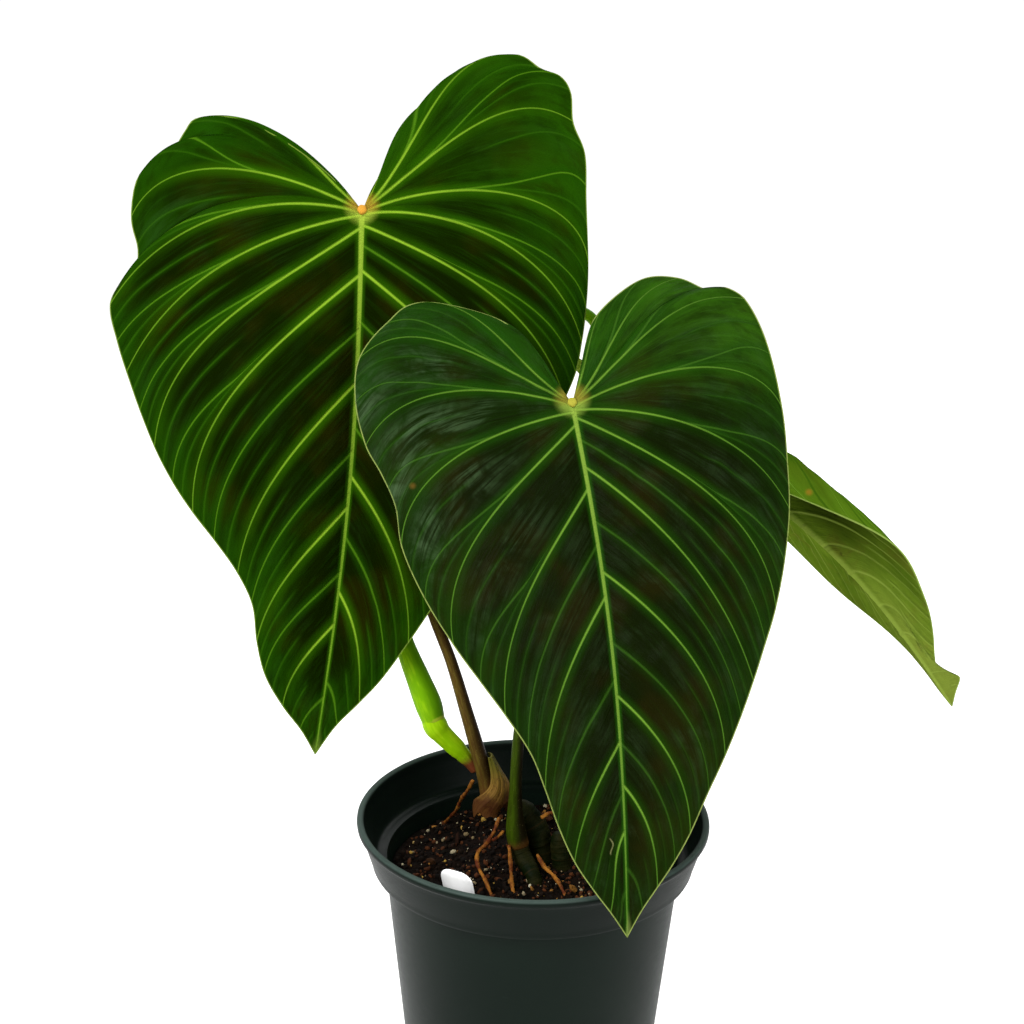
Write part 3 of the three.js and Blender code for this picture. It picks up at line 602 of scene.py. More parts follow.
def leaf_finish(name, **changes):
    """Velvety blade: near-black green between the veins, which glow green to yellow.

    vein x is the vein number, whole on a primary vein, and y the way out from the midrib; reach
    holds the veins' spacing, the distance to the midrib and to the margin in mm; lay holds the
    flat place p, q in mm and the share of the way to the tip. A secondary vein leaves the upper
    side of the next primary part of the way out and runs to the middle of the space, or starts
    on the midrib where the veins are far apart; two finer ones lie on each side of it.
    The look's `calm` dulls all but the primaries towards the tip. `haze` is a painted sheen, pale
    streaks along the panels' crests for the lights' reflection on the velvet; `bloom` is where it
    lies: p from, p to, q, reach in q, amount, and `haze_floor` is its amount outside that place.
    `spots` are brown spots p, q, size; `nick` is a pale scratch at p, q; `nook` is painted shade
    that darkens the underside from q to q, up to p, below the overhang of a rolled margin.
    """
    look = SimpleNamespace(**{**VELVET, **changes})
    m = Finish(name)
    number, out, under = m.attribute("vein")
    gap, middle, edge = m.attribute("reach")
    lay_p, lay_q, far = m.attribute("lay")
    own = m.place()
    blot = m.noise(own, 38, 3)
    fine = m.noise(own, 700, 2)

    # the primaries and their glow
    near = abs((number + 0.5).fraction() - 0.5) * gap
    thin = 1 - 0.6 * out
    width = look.vein_width * thin
    primary = m.fade(near, width * 1.5, width * 0.2)
    calm = 1 - look.calm * far
    glow = m.fade(near, look.glow_width * (0.5 + 0.5 * calm), 0.2) * m.fade(out, 1.3, 0.1)
    glow = glow * m.fade(blot, 0.2, 0.6, 0.45) * (0.35 + 0.65 * calm)
    # the finer veins
    part = number.fraction()
    luck = m.chance(m.vector(number.whole(), m.fade(lay_p, -0.5, 0.5), look.seed))
    leave = 0.16 + 0.26 * luck
    aside = m.fade(out, leave - 0.05, 1.1)
    wide = m.fade(number, 5.9, 6.1)
    line = (1 - 0.5 * aside) * (1 - wide) + (0.56 - 0.1 * out) * wide
    clear = m.fade(number, 0.95, 1.05)
    there = (m.fade(out, leave, leave + 0.08) * (1 - wide) + wide) * clear
    second = abs(part - line) * gap
    secondary = m.fade(second, 0.95 * thin, 0.1) * there
    second_glow = m.fade(second, 3.6, 0.1) * there
    later = m.fade(out, 0.42, 0.6) * clear
    third = (abs(part - line * 0.5)).least(abs(part - (line + 1) * 0.5)) * gap
    tertiary = m.fade(third, 0.7, 0.1) * later
    third_glow = m.fade(third, 1.9, 0.1) * later
    # the midrib
    rib_width = (2.1 - 1.75 * far) * look.rib_width
    midrib = m.fade(middle, rib_width * 1.2, rib_width * 0.5)
    rib_glow = m.fade(middle, rib_width + 3.4 * (1 - 0.7 * far), rib_width * 0.8)
    crest = m.fade(abs(part - 0.5), 0.48, 0.12)

    # upper side
    streak = m.noise(m.vector(number * 4.0, out * 5.0, lay_p * 0.01), 1.0, 4, 0.6)
    hatch = m.noise(m.vector(number * 17.0, out * 3.2, lay_p * 0.02), 1.0, 3, 0.65, 0.3)
    lobe = m.fade(lay_q, 35, -45) * look.lobe
    border = m.fade(edge, 20, 1.5) * look.border
    leafy = (border + lobe).least(1) * (0.35 + 0.65 * m.fade(streak, 0.3, 0.62)) * calm
    # painted light: the right lobe takes the lighter green, for light falling on that side; the
    # greener border and lobes are the leaf's own colour
    fresh = m.mix(m.fade(lay_p, -30, 45) * m.fade(lay_q, 25, -25), look.green, look.fresh)
    joint = m.fade(m.measure("LENGTH", m.vector(lay_p, lay_q + 1.0, 0.0)), 9, 2.5)
    upper_joint = m.fade(lay_q, 2.5, -1.5)
    rim_line = m.fade(edge, 0.6, 0.25)
    # painted sheen: pale haze streaks on the panels' crests where the bloom lies, for the lights'
    # reflection
    p0, p1, q_at, spread_q, amount = look.bloom
    patch = m.fade(lay_p, p1, p0) * m.fade(abs(lay_q - q_at), spread_q, spread_q * 0.3)
    patch = (patch * amount + look.haze_floor) * m.fade(m.noise(own, 45, 4, 0.65, 0.8), 0.4, 0.68)
    shade = m.layers(
        look.dark, (m.fade(blot, 0.45, 0.7), look.brown), (leafy, fresh),
        (m.fade(hatch, 0.46, 0.72) * (0.2 * calm + 0.45 * leafy), fresh),
        (third_glow * 0.45 * calm, look.green), (second_glow * 0.7 * calm, look.green),
        (glow * look.glow_amount, look.glow), (rib_glow * 0.65, look.glow),
        (tertiary * 0.55 * calm, look.faint),
        (secondary * 0.85 * (0.3 + 0.7 * calm), look.second),
        (primary, m.mix(m.fade(out, 0.05, 0.8), look.vein, look.vein_end)),
        (midrib, m.mix(far, look.rib, look.vein_end)),
        (joint * 0.8, m.mix(upper_joint * 0.75, look.rib, look.joint)),
        (rim_line * 0.8, look.rim), (m.fade(far, 0.98, 1.0) * 0.6, look.rim),
        # the last coat is the painted sheen
        (patch * crest * m.fade(hatch, 0.36, 0.62), look.haze))

    # under side
    stale = m.fade(m.noise(own, 55, 4, 0.7, 0.5), 0.5, 0.72)
    fleck = m.fade(m.noise(own, 210, 2, 0.5, 0.3), 0.7, 0.75)
    beneath = m.layers(
        look.under, (m.fade(blot, 0.35, 0.7), look.under_dark),
        (m.fade(streak, 0.45, 0.75) * 0.45, look.under_light),
        (m.fade(hatch, 0.4, 0.7) * 0.35, look.under_light),
        (stale * 0.6, look.under_stale), (fleck * 0.5, look.under_fleck),
        (m.fade(far, 0.72, 0.95) * 0.5, look.under_tip))
    # painted shade: the underside darkened below a rolled margin, where the roll overhangs it
    if look.nook:
        q_low, q_high, p_in = look.nook
        nook = m.fade(lay_p, p_in, p_in - 14) * m.fade(lay_q, q_high, q_low)
        beneath = m.mix(nook * 0.85, beneath, look.under_nook)
    beneath = m.layers(
        beneath, (tertiary * 0.45, look.under_vein), (secondary * 0.45, look.under_vein),
        (primary.most(midrib) * 0.65, look.under_vein), (rim_line * 0.7, look.rim))

    for p, q, size in look.spots:
        spot = m.measure("DISTANCE", m.vector(lay_p, lay_q, 0.0), (p, q, 0.0))
        shade = m.mix(m.fade(spot, size, size * 0.1) * 0.5, shade, look.spot)
        beneath = m.mix(m.fade(spot, size, size * 0.3) * 0.8, beneath, look.spot)
    if look.nick:
        p, q = look.nick
        wiggle = abs(lay_p - p - 0.7 * (lay_q * 0.9).sine())
        nick = m.fade(wiggle, 0.45, 0.15) * m.fade(abs(lay_q - q), 3.6, 2.4)
        shade = m.mix(nick * 0.6, shade, look.nick_colour)
    height = (primary * -0.25 + secondary * -0.3 + tertiary * -0.2 + second_glow * -0.4
              + third_glow * -0.25 + streak * 0.6 + hatch * 0.5 + fine * 0.12)
    return m.close(m.mix(under, shade, beneath),
                   look.rough + 0.18 * (blot - 0.5) + 0.1 * (fine - 0.5),
                   look.specular, height, 0.0011, 1.0)


front_velvet = leaf_finish(
    "front_velvet", dark=velvet(18, 28, 2), brown=velvet(32, 31, 3), green=velvet(32, 74, 9),
    fresh=velvet(60, 112, 18), glow=velvet(38, 98, 8), glow_amount=0.62, glow_width=6.0,
    vein=velvet(124, 172, 56), vein_end=velvet(88, 136, 40), second=velvet(68, 116, 30),
    faint=velvet(48, 92, 18), rib=velvet(196, 232, 92), joint=velvet(190, 146, 48),
    rim=velvet(180, 200, 104), vein_width=0.56, rib_width=0.9, border=0.55, lobe=0.7, calm=0.8,
    # painted sheen on the left half, towards the lobe
    haze=velvet(86, 114, 74), bloom=(-85, -5, 22, 80, 0.7), haze_floor=0.12, rough=0.4,
    specular=0.012, seed=3.0, spots=[(-67, 30, 1.9)], nick=(-3.2, 177))
left_velvet = leaf_finish("left_velvet")
rear_velvet = leaf_finish(
    "rear_velvet", dark=paint(60, 96, 12), brown=paint(78, 100, 16), green=paint(96, 134, 26),
    fresh=paint(100, 138, 22), glow=paint(100, 144, 28), vein=paint(136, 166, 60),
    vein_end=paint(110, 150, 40), second=paint(104, 144, 34), rim=paint(160, 184, 90),
    under_vein=paint(142, 164, 66), rough=0.5, seed=5.0, calm=0.0, spot=paint(196, 130, 44),
    # nook: painted shade below the rolled margin
    spots=[(-58, 66, 2.4)], nook=(85, 138, -12))

for leaf, *details in (
        ("front_leaf", FRONT, front_velvet, "blade", "front_leaf_blade"),
        ("left_leaf", LEFT, left_velvet, "blade", "left_leaf_blade"),
        ("rear_leaf", REAR, rear_velvet, "blade_under", "rear_leaf_blade")):
    make_blade(leaf, *details)


# ---------------------------------------------------------------- petioles, shoot and old stems
def stalk_finish(name, base, second, foot, streaks, fleck=0.0, shaded_flank=None, tip=None):
    """Fresh stalk: long streaks, a foot colour over the first part, small paler flecks, the darker
    `shaded_flank` colour as painted shade down the side that faces +x, away from the key light, and
    another colour at the top, where the leaf joins."""
    m = Finish(name)
    along, around, share = m.attribute("grain")
    own = m.place()
    ring = m.vector((around * TURN).sine() * 0.5, (around * TURN + 1.57).sine() * 0.5, along * 0.02)
    streak = m.noise(ring, 6 * streaks, 4, 0.6)
    patch = m.noise(own, 60, 4, 0.6)
    colour = m.mix(m.fade(streak, 0.38, 0.66), base, second)
    # painted shade: the side that faces +x, away from the key light, takes the darker flank colour
    if shaded_flank:
        facing = m.parts(m.node("NewGeometry", {}, "Normal"))[0]
        colour = m.mix(m.fade(facing + (patch - 0.5) * 0.7, -0.25, 0.55), colour, shaded_flank)
    foot_colour, foot_start, foot_end = foot
    colour = m.mix(m.fade(share + (patch - 0.5) * 0.1, foot_start, foot_end), foot_colour, colour)
    if tip:
        colour = m.mix(m.fade(share, 0.955, 0.985), colour, tip)
    colour = m.mix(m.fade(m.cells(own, 900), 0.2, 0.08) * fleck, colour, paint(190, 180, 110))
    return m.close(colour, 0.42 + 0.25 * (patch - 0.5), 0.03,
                   streak * 0.7 + m.noise(own, 1500, 2) * 0.3, 0.0004, 0.8)


# each flank colour is a painted shade, a darker copy of the stalk's own colour
olive_stalk = stalk_finish("olive_stalk", paint(62, 84, 10), paint(50, 66, 8),
                           (paint(88, 58, 24), 0.0, 0.07), 1.2, fleck=0.15,
                           shaded_flank=paint(30, 26, 8), tip=paint(176, 170, 60))
brown_stalk = stalk_finish("brown_stalk", paint(84, 62, 24), paint(106, 90, 34),
                           (paint(92, 54, 24), 0.0, 0.1), 1.2, fleck=0.15,
                           shaded_flank=paint(52, 36, 14), tip=paint(216, 156, 56))
green_stalk = stalk_finish("green_stalk", paint(116, 172, 6), paint(144, 194, 14),
                           (paint(166, 186, 50), 0.0, 0.012), 0.9, shaded_flank=paint(92, 146, 8))
shoot_skin = stalk_finish("shoot_skin", paint(146, 200, 6), paint(168, 214, 20),
                          (paint(112, 58, 32), 0.1, 0.3), 0.9)


def stem_skin():
    m = Finish("old_stem_skin")
    along, around, _ = m.attribute("grain")
    patch = m.noise(m.place(), 120, 5, 0.65)
    rings = m.noise(m.vector(along * 0.8, around * 0.6, 0.0), 1.0, 3, 0.6)
    colour = m.layers(paint(12, 22, 3), (m.fade(patch, 0.35, 0.65), paint(34, 34, 10)),
                      (m.fade(rings, 0.55, 0.7) * 0.4, paint(60, 44, 18)))
    return m.close(colour, 0.62 + 0.3 * (patch - 0.5), 0.04, rings * 0.7 + patch * 0.5, 0.0007, 0.9)


def root_skin():
    m = Finish("root_skin")
    along, around, share = m.attribute("grain")
    patch = m.noise(m.place(), 160, 4, 0.6)
    streak = m.noise(m.vector(along * 0.5, around * 3, share), 2.0, 4, 0.6)
    colour = m.layers(paint(172, 112, 40), (m.fade(patch, 0.36, 0.62), paint(96, 44, 20)),
                      (m.fade(streak, 0.5, 0.75) * 0.6, paint(78, 36, 18)))
    return m.close(colour, 0.55 + 0.3 * (streak - 0.5), 0.06, streak + patch * 0.6, 0.0004, 0.9)


old_skin = stem_skin()
root_finish = root_skin()

# A stem's rows are [x, y, z, radius], from its foot to its tip.
FRONT_PETIOLE = [
    [-6, -0.5, 131.2, 4.6], [-7.3, 0, 137.6, 4.3], [-7.7, 1.5, 153.9, 2.8], [-6.8, 4, 178.5, 2.5],
    [-3, 10, 215, 2.3], [3.4, 17, 264.5, 2.2], [8.5, 19.5, 298, 2.1], [11.4, 16.5, 316, 2.1],
    [12.4, 10.5, 323.5, 2.2], [12.6, 5.4, 326.3, 2.3], [12.6, 3.1, 327.9, 2.2],
    [12.6, 1.5, 328.9, 1.9]]
LEFT_PETIOLE = [
    [-18.8, 9, 145.5, 3.8], [-20.4, 12, 154, 3.5], [-23.8, 13, 167, 3.3], [-29.2, 15, 185.4, 2.9],
    [-36.4, 19, 208.4, 2.5], [-44.9, 25, 229, 2.4], [-60.2, 42, 274, 2.3], [-69.5, 62, 325, 2.2],
    [-74.5, 76, 364, 2.2], [-76.4, 80, 383, 2.2], [-76.5, 76.5, 390.5, 2.3],
    [-76.5, 70, 393.1, 2.4], [-76.5, 67.2, 394.5, 2.3], [-76.5, 65.4, 395.4, 2.0]]
REAR_PETIOLE = [
    [-43.8, 14.8, 182.7, 5.1], [-46, 16.5, 189, 5.8], [-50.3, 19.5, 199, 5.2],
    [-56.5, 24, 213.5, 4.2], [-64, 36, 235, 3.2], [-66.5, 52, 268, 2.8], [-57, 66, 305, 2.6],
    [-34, 74, 335, 2.5], [-3, 77, 352, 2.5], [20.9, 78.5, 348.5, 2.5], [29.5, 82, 334, 2.5],
    [37, 84, 318.5, 2.5], [43.6, 83.6, 306.6, 2.5], [50, 84.2, 299.2, 2.5], [52.4, 86.2, 298, 2.2]]
INTERNODE = [
    [-25.6, 13.6, 159.4, 2.0], [-28.2, 14.4, 163, 2.6], [-31, 14.6, 166.3, 3.3],
    [-33.6, 14.4, 169.2, 4.0], [-37.4, 14.2, 173.4, 4.3], [-40.3, 14.1, 176.6, 4.6],
    [-41.9, 14.2, 178.6, 5.2], [-43.2, 14.5, 180.6, 5.3], [-44.2, 15.1, 183, 5.0]]
RHIZOME = [[4.8, 8.4, 112, 5.4], [4.4, 9, 120.2, 5.4], [3, 10.5, 127, 5.8], [0, 12, 134, 6],
           [-4, 13, 139.5, 5.4], [-7.2, 13.2, 142, 4.2]]
OLD_STEM = [[2.4, -13.5, 113, 3.2], [0.6, -10, 120.6, 3.4], [-2, -6, 123.8, 3.8],
            [-4.6, -2, 126.6, 4.2], [-5.6, -0.8, 129.2, 4.2]]
OLD_STUB = [[13.4, 1.4, 113, 4], [13, 2, 120.4, 4.2], [12.4, 3, 127, 4.4], [11.6, 3.5, 133, 3.6],
            [11.4, 3.6, 134.6, 2.2]]


def soft_ridges(height, count):
    """Shallow ridges along a stalk that wander a little as they climb."""
    return lambda along, turn: height * np.sin(count * turn + 0.02 * along)


def leaf_scars(height, spacing):
    """Rings round an old stem where leaves have dropped, with a lumpy skin between."""
    def relief(along, turn):
        ring = np.exp(-(((along / spacing + 0.08 * np.sin(turn) + 0.5) % 1 - 0.5) * 9) ** 2)
        return height * ring + 0.16 * np.sin(3 * turn + along * 0.7) * np.sin(along * 1.3 + turn)
    return relief


def swollen_collar(along, turn):
    """The raised ring on the shoot's node and the puckered scar at its foot."""
    pucker = 0.3 * np.sin(9 * turn) * np.exp(-((along - 7) / 2.4) ** 2)
    return pucker + 0.1 * np.sin(5 * turn + 0.3 * along)


def knobbly(seed):
    """A root's uneven thickness: slow swellings and small knots."""
    def relief(along, turn):
        swell = 0.14 * np.sin(along * 0.55 + seed) + 0.08 * np.sin(along * 1.7 + 2 * seed)
        return swell + 0.06 * np.sin(3 * turn + along * 0.9 + seed)
    return relief


for stem, *details in (
        ("front_petiole", FRONT_PETIOLE, 170, 20, olive_stalk, "petiole_olive",
         "front_leaf_petiole", soft_ridges(0.06, 5)),
        ("left_petiole", LEFT_PETIOLE, 210, 20, brown_stalk, "petiole_brown",
         "left_leaf_petiole", soft_ridges(0.07, 5)),
        ("rear_petiole", REAR_PETIOLE, 260, 20, green_stalk, "petiole_olive",
         "rear_leaf_petiole", soft_ridges(0.08, 4)),
        ("shoot", INTERNODE, 70, 28, shoot_skin, "shoot_green", "shoot_internode", swollen_collar),
        ("creeping_stem", RHIZOME, 90, 28, old_skin, "old_stem", "rhizome", leaf_scars(0.24, 7.5)),
        ("bare_stem", OLD_STEM, 60, 24, old_skin, "old_stem", "old_stem", leaf_scars(0.18, 6.0)),
        ("stem_stub", OLD_STUB, 60, 24, old_skin, "old_stem", "old_stem_stub",
         leaf_scars(0.18, 5.5), (0.5, 0.2))):
    make_stem(stem, *details)

ROOTS = [
    [[-26.4, 11.4, 155.2, 0.9], [-28.6, 15, 149, 0.95], [-31.6, 21, 141.6, 0.95],
     [-34, 29, 132, 0.9], [-38, 39, 122.4, 0.8], [-40, 42, 118.5, 0.7]],
    [[-14.6, 5, 140.6, 1.0], [-17, 1.4, 135.6, 1.0], [-20, -3.6, 132.6, 1.05],
     [-23.6, -8, 130.8, 1.05], [-23.4, -13, 127.2, 1.0], [-20, -19, 123.4, 0.95],
     [-17, -24.5, 118.5, 0.8]],
    [[-12.7, 0.8, 136.4, 0.8], [-14.9, -1.6, 135.2, 0.85], [-17.2, -3.8, 134.6, 0.8]],
    [[-10.2, -4.4, 132.2, 1.0], [-9.4, -10, 127, 1.0], [-8.8, -18, 122.4, 0.95],
     [-7.6, -25, 118.5, 0.8]],
    [[2.2, -3.2, 127.4, 1.0], [5.2, -8, 124.4, 1.0], [9.5, -13.4, 122.6, 1.0],
     [12, -19, 121.4, 0.95], [14.6, -25, 118.5, 0.8]],
    [[7, 11, 147.4, 0.9], [14, 12.4, 146, 0.95], [23, 14, 137, 0.9], [29, 17, 125, 0.85],
     [31, 18, 118.5, 0.7]],
    [[3.8, 5.4, 141, 0.9], [8.4, 7.4, 142.6, 0.95], [16, 8, 139, 0.9], [22, 7, 128, 0.85],
     [23.6, 6.4, 118.5, 0.7]],
]
SLIM = 0.85             # every root's radius is this share of the one in its rows
for i, rows in enumerate(ROOTS):
    slim = [[x, y, z, SLIM * r] for x, y, z, r in rows]
    make_stem(f"aerial_root_{i + 1}", slim, 90, 12, root_finish, "root", f"root_{i + 1}",
              knobbly(i * 1.3))


# ---------------------------------------------------------------- dried sheath
# [share of the height, x, y, z, radius]
SHEATH_MIDDLE = [[0, -18.4, 9.7, 142.3, 6.8], [0.3, -18.0, 10.5, 148, 7.7],
                 [0.58, -18.3, 11.4, 155, 6.9], [1, -21.9, 12.9, 167, 3.7]]
SHEATH_HALF = 0.3       # half the thickness of the skin, mm


def sheath_skin():
    m = Finish("dry_sheath_skin")
    across, up, _ = m.attribute("grain")
    own = m.place()
    patch = m.noise(own, 140, 4, 0.6)
    fibre = m.noise(m.vector(across * 26, up * 1.5, 0.0), 1.0, 4, 0.65)
    flake = m.noise(own, 420, 4, 0.7)
    colour = m.layers(
        paint(172, 130, 54), (m.fade(fibre, 0.35, 0.65), paint(118, 88, 30)),
        (m.fade(up + (patch - 0.5) * 0.2, 0.55, 0.95), paint(104, 100, 24)),
        (m.fade(flake, 0.52, 0.66) * 0.7, paint(70, 36, 16)),
        (m.fade(up + (patch - 0.5) * 0.5, 0.6, 0.3) * 0.85, paint(72, 32, 13)))
    return m.close(colour, 0.6 + 0.3 * (fibre - 0.5), 0.12, fibre + patch * 0.5, 0.0006, 0.9)


def make_sheath():
    """A cone of dry skin that clasps the foot of the left petiole and opens towards the back
    left, wider further up.

    Its middle line climbs with the petiole; the radius shrinks towards the top, and the foot is
    ragged. An outer and an inner sheet are joined round the border.
    """
    rows, columns = 40, 61
    up = np.linspace(0, 1, rows)[:, None]
    across = np.linspace(0, 1, columns)[None, :]
    x, y, z, radius = from_table(SHEATH_MIDDLE, up.ravel()).T[..., None]
    wrap = np.radians(335 - 110 * step((up - 0.12) * 1.8) - 110 * up)
    angle = np.radians(-38 + 40 * up) + (across - 0.5) * wrap
    ragged = 3.0 * (np.sin(across * 21) * 0.5 + np.sin(across * 47 + 1) * 0.3
                    + np.sin(across * 9) * 0.5)
    drop = ragged * (1 - step(up / 0.4))
    samples = []
    for k in (SHEATH_HALF, -SHEATH_HALF):
        r = (radius + k + 0.12 * np.sin(across * 40) + 0.5 * (1 - up) ** 3 * np.sin(across * 13)
             + 0.4 * np.sin(across * 11 + up * 6) * np.sin(up * 8 + 1))
        samples.append(stack(x + r * np.cos(angle), y + 0.9 * r * np.sin(angle), z - drop))
    block = rows * columns
    outer = np.arange(block).reshape(rows, columns)
    loop = np.concatenate([outer[0], outer[1:, -1], outer[-1, -2::-1], outer[-2::-1, 0]])
    quads = [grid_quads(rows, columns), grid_quads(rows, columns, block)[:, ::-1],
             np.stack([loop[1:], loop[:-1], loop[:-1] + block, loop[1:] + block], axis=-1)]
    grain = np.tile(stack(across, up, 0.0).reshape(-1, 3), (2, 1))
    make_piece("dried_skin", np.concatenate(samples).reshape(-1, 3), np.concatenate(quads),
               np.arange(2 * block), sheath_skin(), "dry_sheath", ("dried_sheath",),
               {"grain": grain})


make_sheath()


# ---------------------------------------------------------------- pot
# The profile is [radius, height], from the middle of the underside round to the floor inside.
POT_PROFILE = [
    [0, 0.6], [10, 0.5], [34, 0.4], [46.5, 0.2], [50.1, 0.1], [51.2, 0.6], [51.65, 1.8],
    [51.95, 5], [57.6, 62], [62.9, 114.5], [63.75, 122.6], [63.9, 124.1], [64.3, 124.8],
    [65.4, 125.0], [68.6, 125.0], [69.3, 125.2], [69.65, 125.9], [69.8, 127], [72.1, 134.5],
    [74.1, 141.2], [74.5, 142.2], [75.4, 142.7], [75.9, 143.3], [76.0, 144.2], [75.9, 145.1],
    [75.3, 145.8], [74.5, 146.0], [73.6, 145.7], [73.0, 144.9], [72.3, 141.5], [70, 134.2],
    [67.9, 128.9], [67.2, 128.1], [65.6, 127.8], [64.0, 127.6], [63.1, 127.2], [62.7, 126.2],
    [61.9, 118], [56.4, 62], [50.6, 6], [50.1, 3.6], [48.9, 2.4], [46.8, 2.1], [34, 2.1],
    [10, 2.1], [0, 2.1]]
POT_SIDES = 192
DRAINS = 8
DRAIN_RADIUS = 4.5      # mm
DRAIN_CIRCLE = 37       # radius of the circle that the holes lie on, mm
DRILL = [[0, -3], [1, -3], [1, 6], [0, 6]]      # [share of the radius, height in mm]


def pot_plastic():
    m = Finish("pot_plastic")
    own = m.place()
    x, y, z = m.parts(own)
    scuff = m.noise(m.place((1, 1, 6)), 160, 5, 0.7, 0.5)
    grain = m.noise(own, 2600, 2)
    radius = m.measure("LENGTH", m.vector(x, y, 0.0))
    inside = m.fade(z - 0.9 * radius, 0.0785, 0.0792)
    dirt = m.fade(z, 0.1345, 0.119) * m.fade(m.noise(own, 90, 6, 0.75), 0.35, 0.7)
    # painted highlight: the top of the lip made paler, broken up by the scuffs
    lip_highlight = m.fade(z, 0.1446, 0.1456) * m.fade(scuff, 0.2, 0.5, 0.5)
    below_lip = m.fade(z, 0.1456, 0.144)
    # painted shade: the outer rim band, from its foot up to the lip, darkened
    band_shade = m.fade(z, 0.1235, 0.1265) * below_lip
    # its last coat is the lip's painted highlight
    colour = m.layers(
        paint(13, 24, 18), (m.fade(m.noise(own, 14, 3), 0.3, 0.7), paint(17, 29, 22)),
        (m.fade(scuff, 0.62, 0.8) * 0.15, paint(58, 72, 64)), (lip_highlight, paint(66, 80, 74)))
    # outside, the rim band darkened as painted shade
    outer = m.mix(band_shade * 0.45, colour, paint(4, 10, 7))
    # inside, painted shade darkens the whole wall below the lip; the dirt near the mix is real
    inner = m.layers(colour, (0.55 * below_lip, paint(6, 12, 9)), (dirt * 0.6, paint(40, 32, 24)))
    return m.close(m.mix(inside, outer, inner), 0.4 + 0.22 * (scuff - 0.5) + 0.2 * inside, 0.05,
                   grain * 0.5 + scuff * 0.5, 0.00012, 0.6)


def make_pot():
    """The pot's profile turned round its axis, with the drain holes cut through its floor."""
    # the profile is drawn finer, with its short steps kept
    table = np.array(POT_PROFILE, dtype=float)
    at = np.concatenate([[0], np.cumsum(np.linalg.norm(np.diff(table, axis=0), axis=1))])
    places = np.unique(np.concatenate([np.linspace(a, b, 2 + int(b - a > 3) * 3)
                                       for a, b in zip(at[:-1], at[1:])]))
    r, z = (np.interp(places, at, side)[:, None] for side in table.T)
    turn = np.linspace(0, TURN, POT_SIDES + 1)[None, :]
    pot = make_round("nursery_pot", stack(r * np.cos(turn), r * np.sin(turn), z), pot_plastic(),
                     "pot_plastic", ("pot",), crease=40)

    # one drill: a short rod for each hole
    spin = np.linspace(0, TURN, 33)[None, :]
    share, height = np.array(DRILL, dtype=float).T[..., None]
    rod = stack(share * DRAIN_RADIUS * np.cos(spin), share * DRAIN_RADIUS * np.sin(spin), height)
    bearing = (np.arange(DRAINS) + 0.5) / DRAINS * TURN
    shift = stack(np.cos(bearing), np.sin(bearing), 0) * DRAIN_CIRCLE
    points = (rod.reshape(-1, 3) + shift[:, None]).reshape(-1, 3) * MM
    quads, weld = copies(*rod.shape[:2], DRAINS)
    _, first, vertex = np.unique(weld, return_index=True, return_inverse=True)
    faces = [list(dict.fromkeys(face)) for face in vertex[quads[:, ::-1]].tolist()]
    drill_mesh = bpy.data.meshes.new("drill")
    drill_mesh.from_pydata(points[first].tolist(), [], faces)
    drill = add_object("drill", drill_mesh)
    cut = pot.modifiers.new("drain_holes", "BOOLEAN")
    cut.operation = "DIFFERENCE"
    cut.solver = "EXACT"
    cut.object = drill
    bpy.context.view_layer.update()
    finished = pot.evaluated_get(bpy.context.evaluated_depsgraph_get())
    cut_mesh = bpy.data.meshes.new_from_object(finished)
    pot.modifiers.clear()
    pot.data = cut_mesh
    bpy.data.objects.remove(drill)


make_pot()


# ---------------------------------------------------------------- plant label
LABEL_WIDTH, LABEL_LENGTH, LABEL_CORNER = 14.5, 75, 5       # mm
LABEL_TOP = (68.3, 242.5, 151)      # distance from the pot's axis, bearing, height
LABEL_LEAN = 18                     # degrees, outwards
# depth through the label, and the share of the outline's size there
LABEL_RINGS = [[0, 0], [0, 0.97], [0.1, 0.99], [0.4, 1], [0.7, 0.99], [0.8, 0.97], [0.8, 0]]


def label_plastic():
    m = Finish("label_plastic")
    own = m.place()
    z = m.parts(own)[2]
    haze = m.noise(own, 220, 4, 0.6)
    soil = m.fade(z + (haze - 0.5) * 0.006, 0.128, 0.119)
    colour = m.layers(paint(250, 250, 249, 0.9),
                      (m.fade(haze, 0.4, 0.75) * 0.3, paint(236, 236, 232, 0.9)),
                      (soil * 0.8, paint(78, 62, 46)))
    return m.close(colour, 0.35 + 0.2 * (haze - 0.5), 0.5, haze, 0.0001, 0.5)


def make_label():
    """A flat tag with two rounded top corners: rings of its outline, drawn in a little at the
    two faces so its edge is rounded, each closed at a middle point."""
    half, corner = LABEL_WIDTH / 2, LABEL_CORNER
    top = LABEL_LENGTH - corner
    bend = np.linspace(0, math.pi / 2, 12)
    side = np.linspace(0, 1, 16)[:, None]
    outline = np.vstack([
        [-half, 0] + side * [2 * half, 0],
        ([half, 0] + side * [0, top])[1:-1],
        stack(half - corner + corner * np.cos(bend), top + corner * np.sin(bend)),
        stack(corner - half - corner * np.sin(bend), top + corner * np.cos(bend)),
        ([-half, top] + side * [0, -top])[1:],
    ])
    middle = np.array([0, LABEL_LENGTH / 2])
    depth, size = np.array(LABEL_RINGS).T[..., None, None]
    drawn_in = outline - np.sign(outline - middle) * (1 - size) * 10
    flat = np.where(size > 0, drawn_in, middle + (outline - middle) * size)
    r, bearing, height = LABEL_TOP
    a, lean = math.radians(bearing), math.radians(LABEL_LEAN)
    across = np.array([-math.sin(a), math.cos(a), 0])
    out = np.array([math.cos(a), math.sin(a), 0])
    up = out * math.sin(lean) + [0, 0, math.cos(lean)]
    foot = out * r + [0, 0, height] - up * LABEL_LENGTH
    samples = (foot + flat[..., :1] * across + flat[..., 1:] * up
               + depth * np.cross(across, up))
    make_round("plant_tag", samples, label_plastic(), "label_plastic", ("plant_label",), crease=35)


make_label()


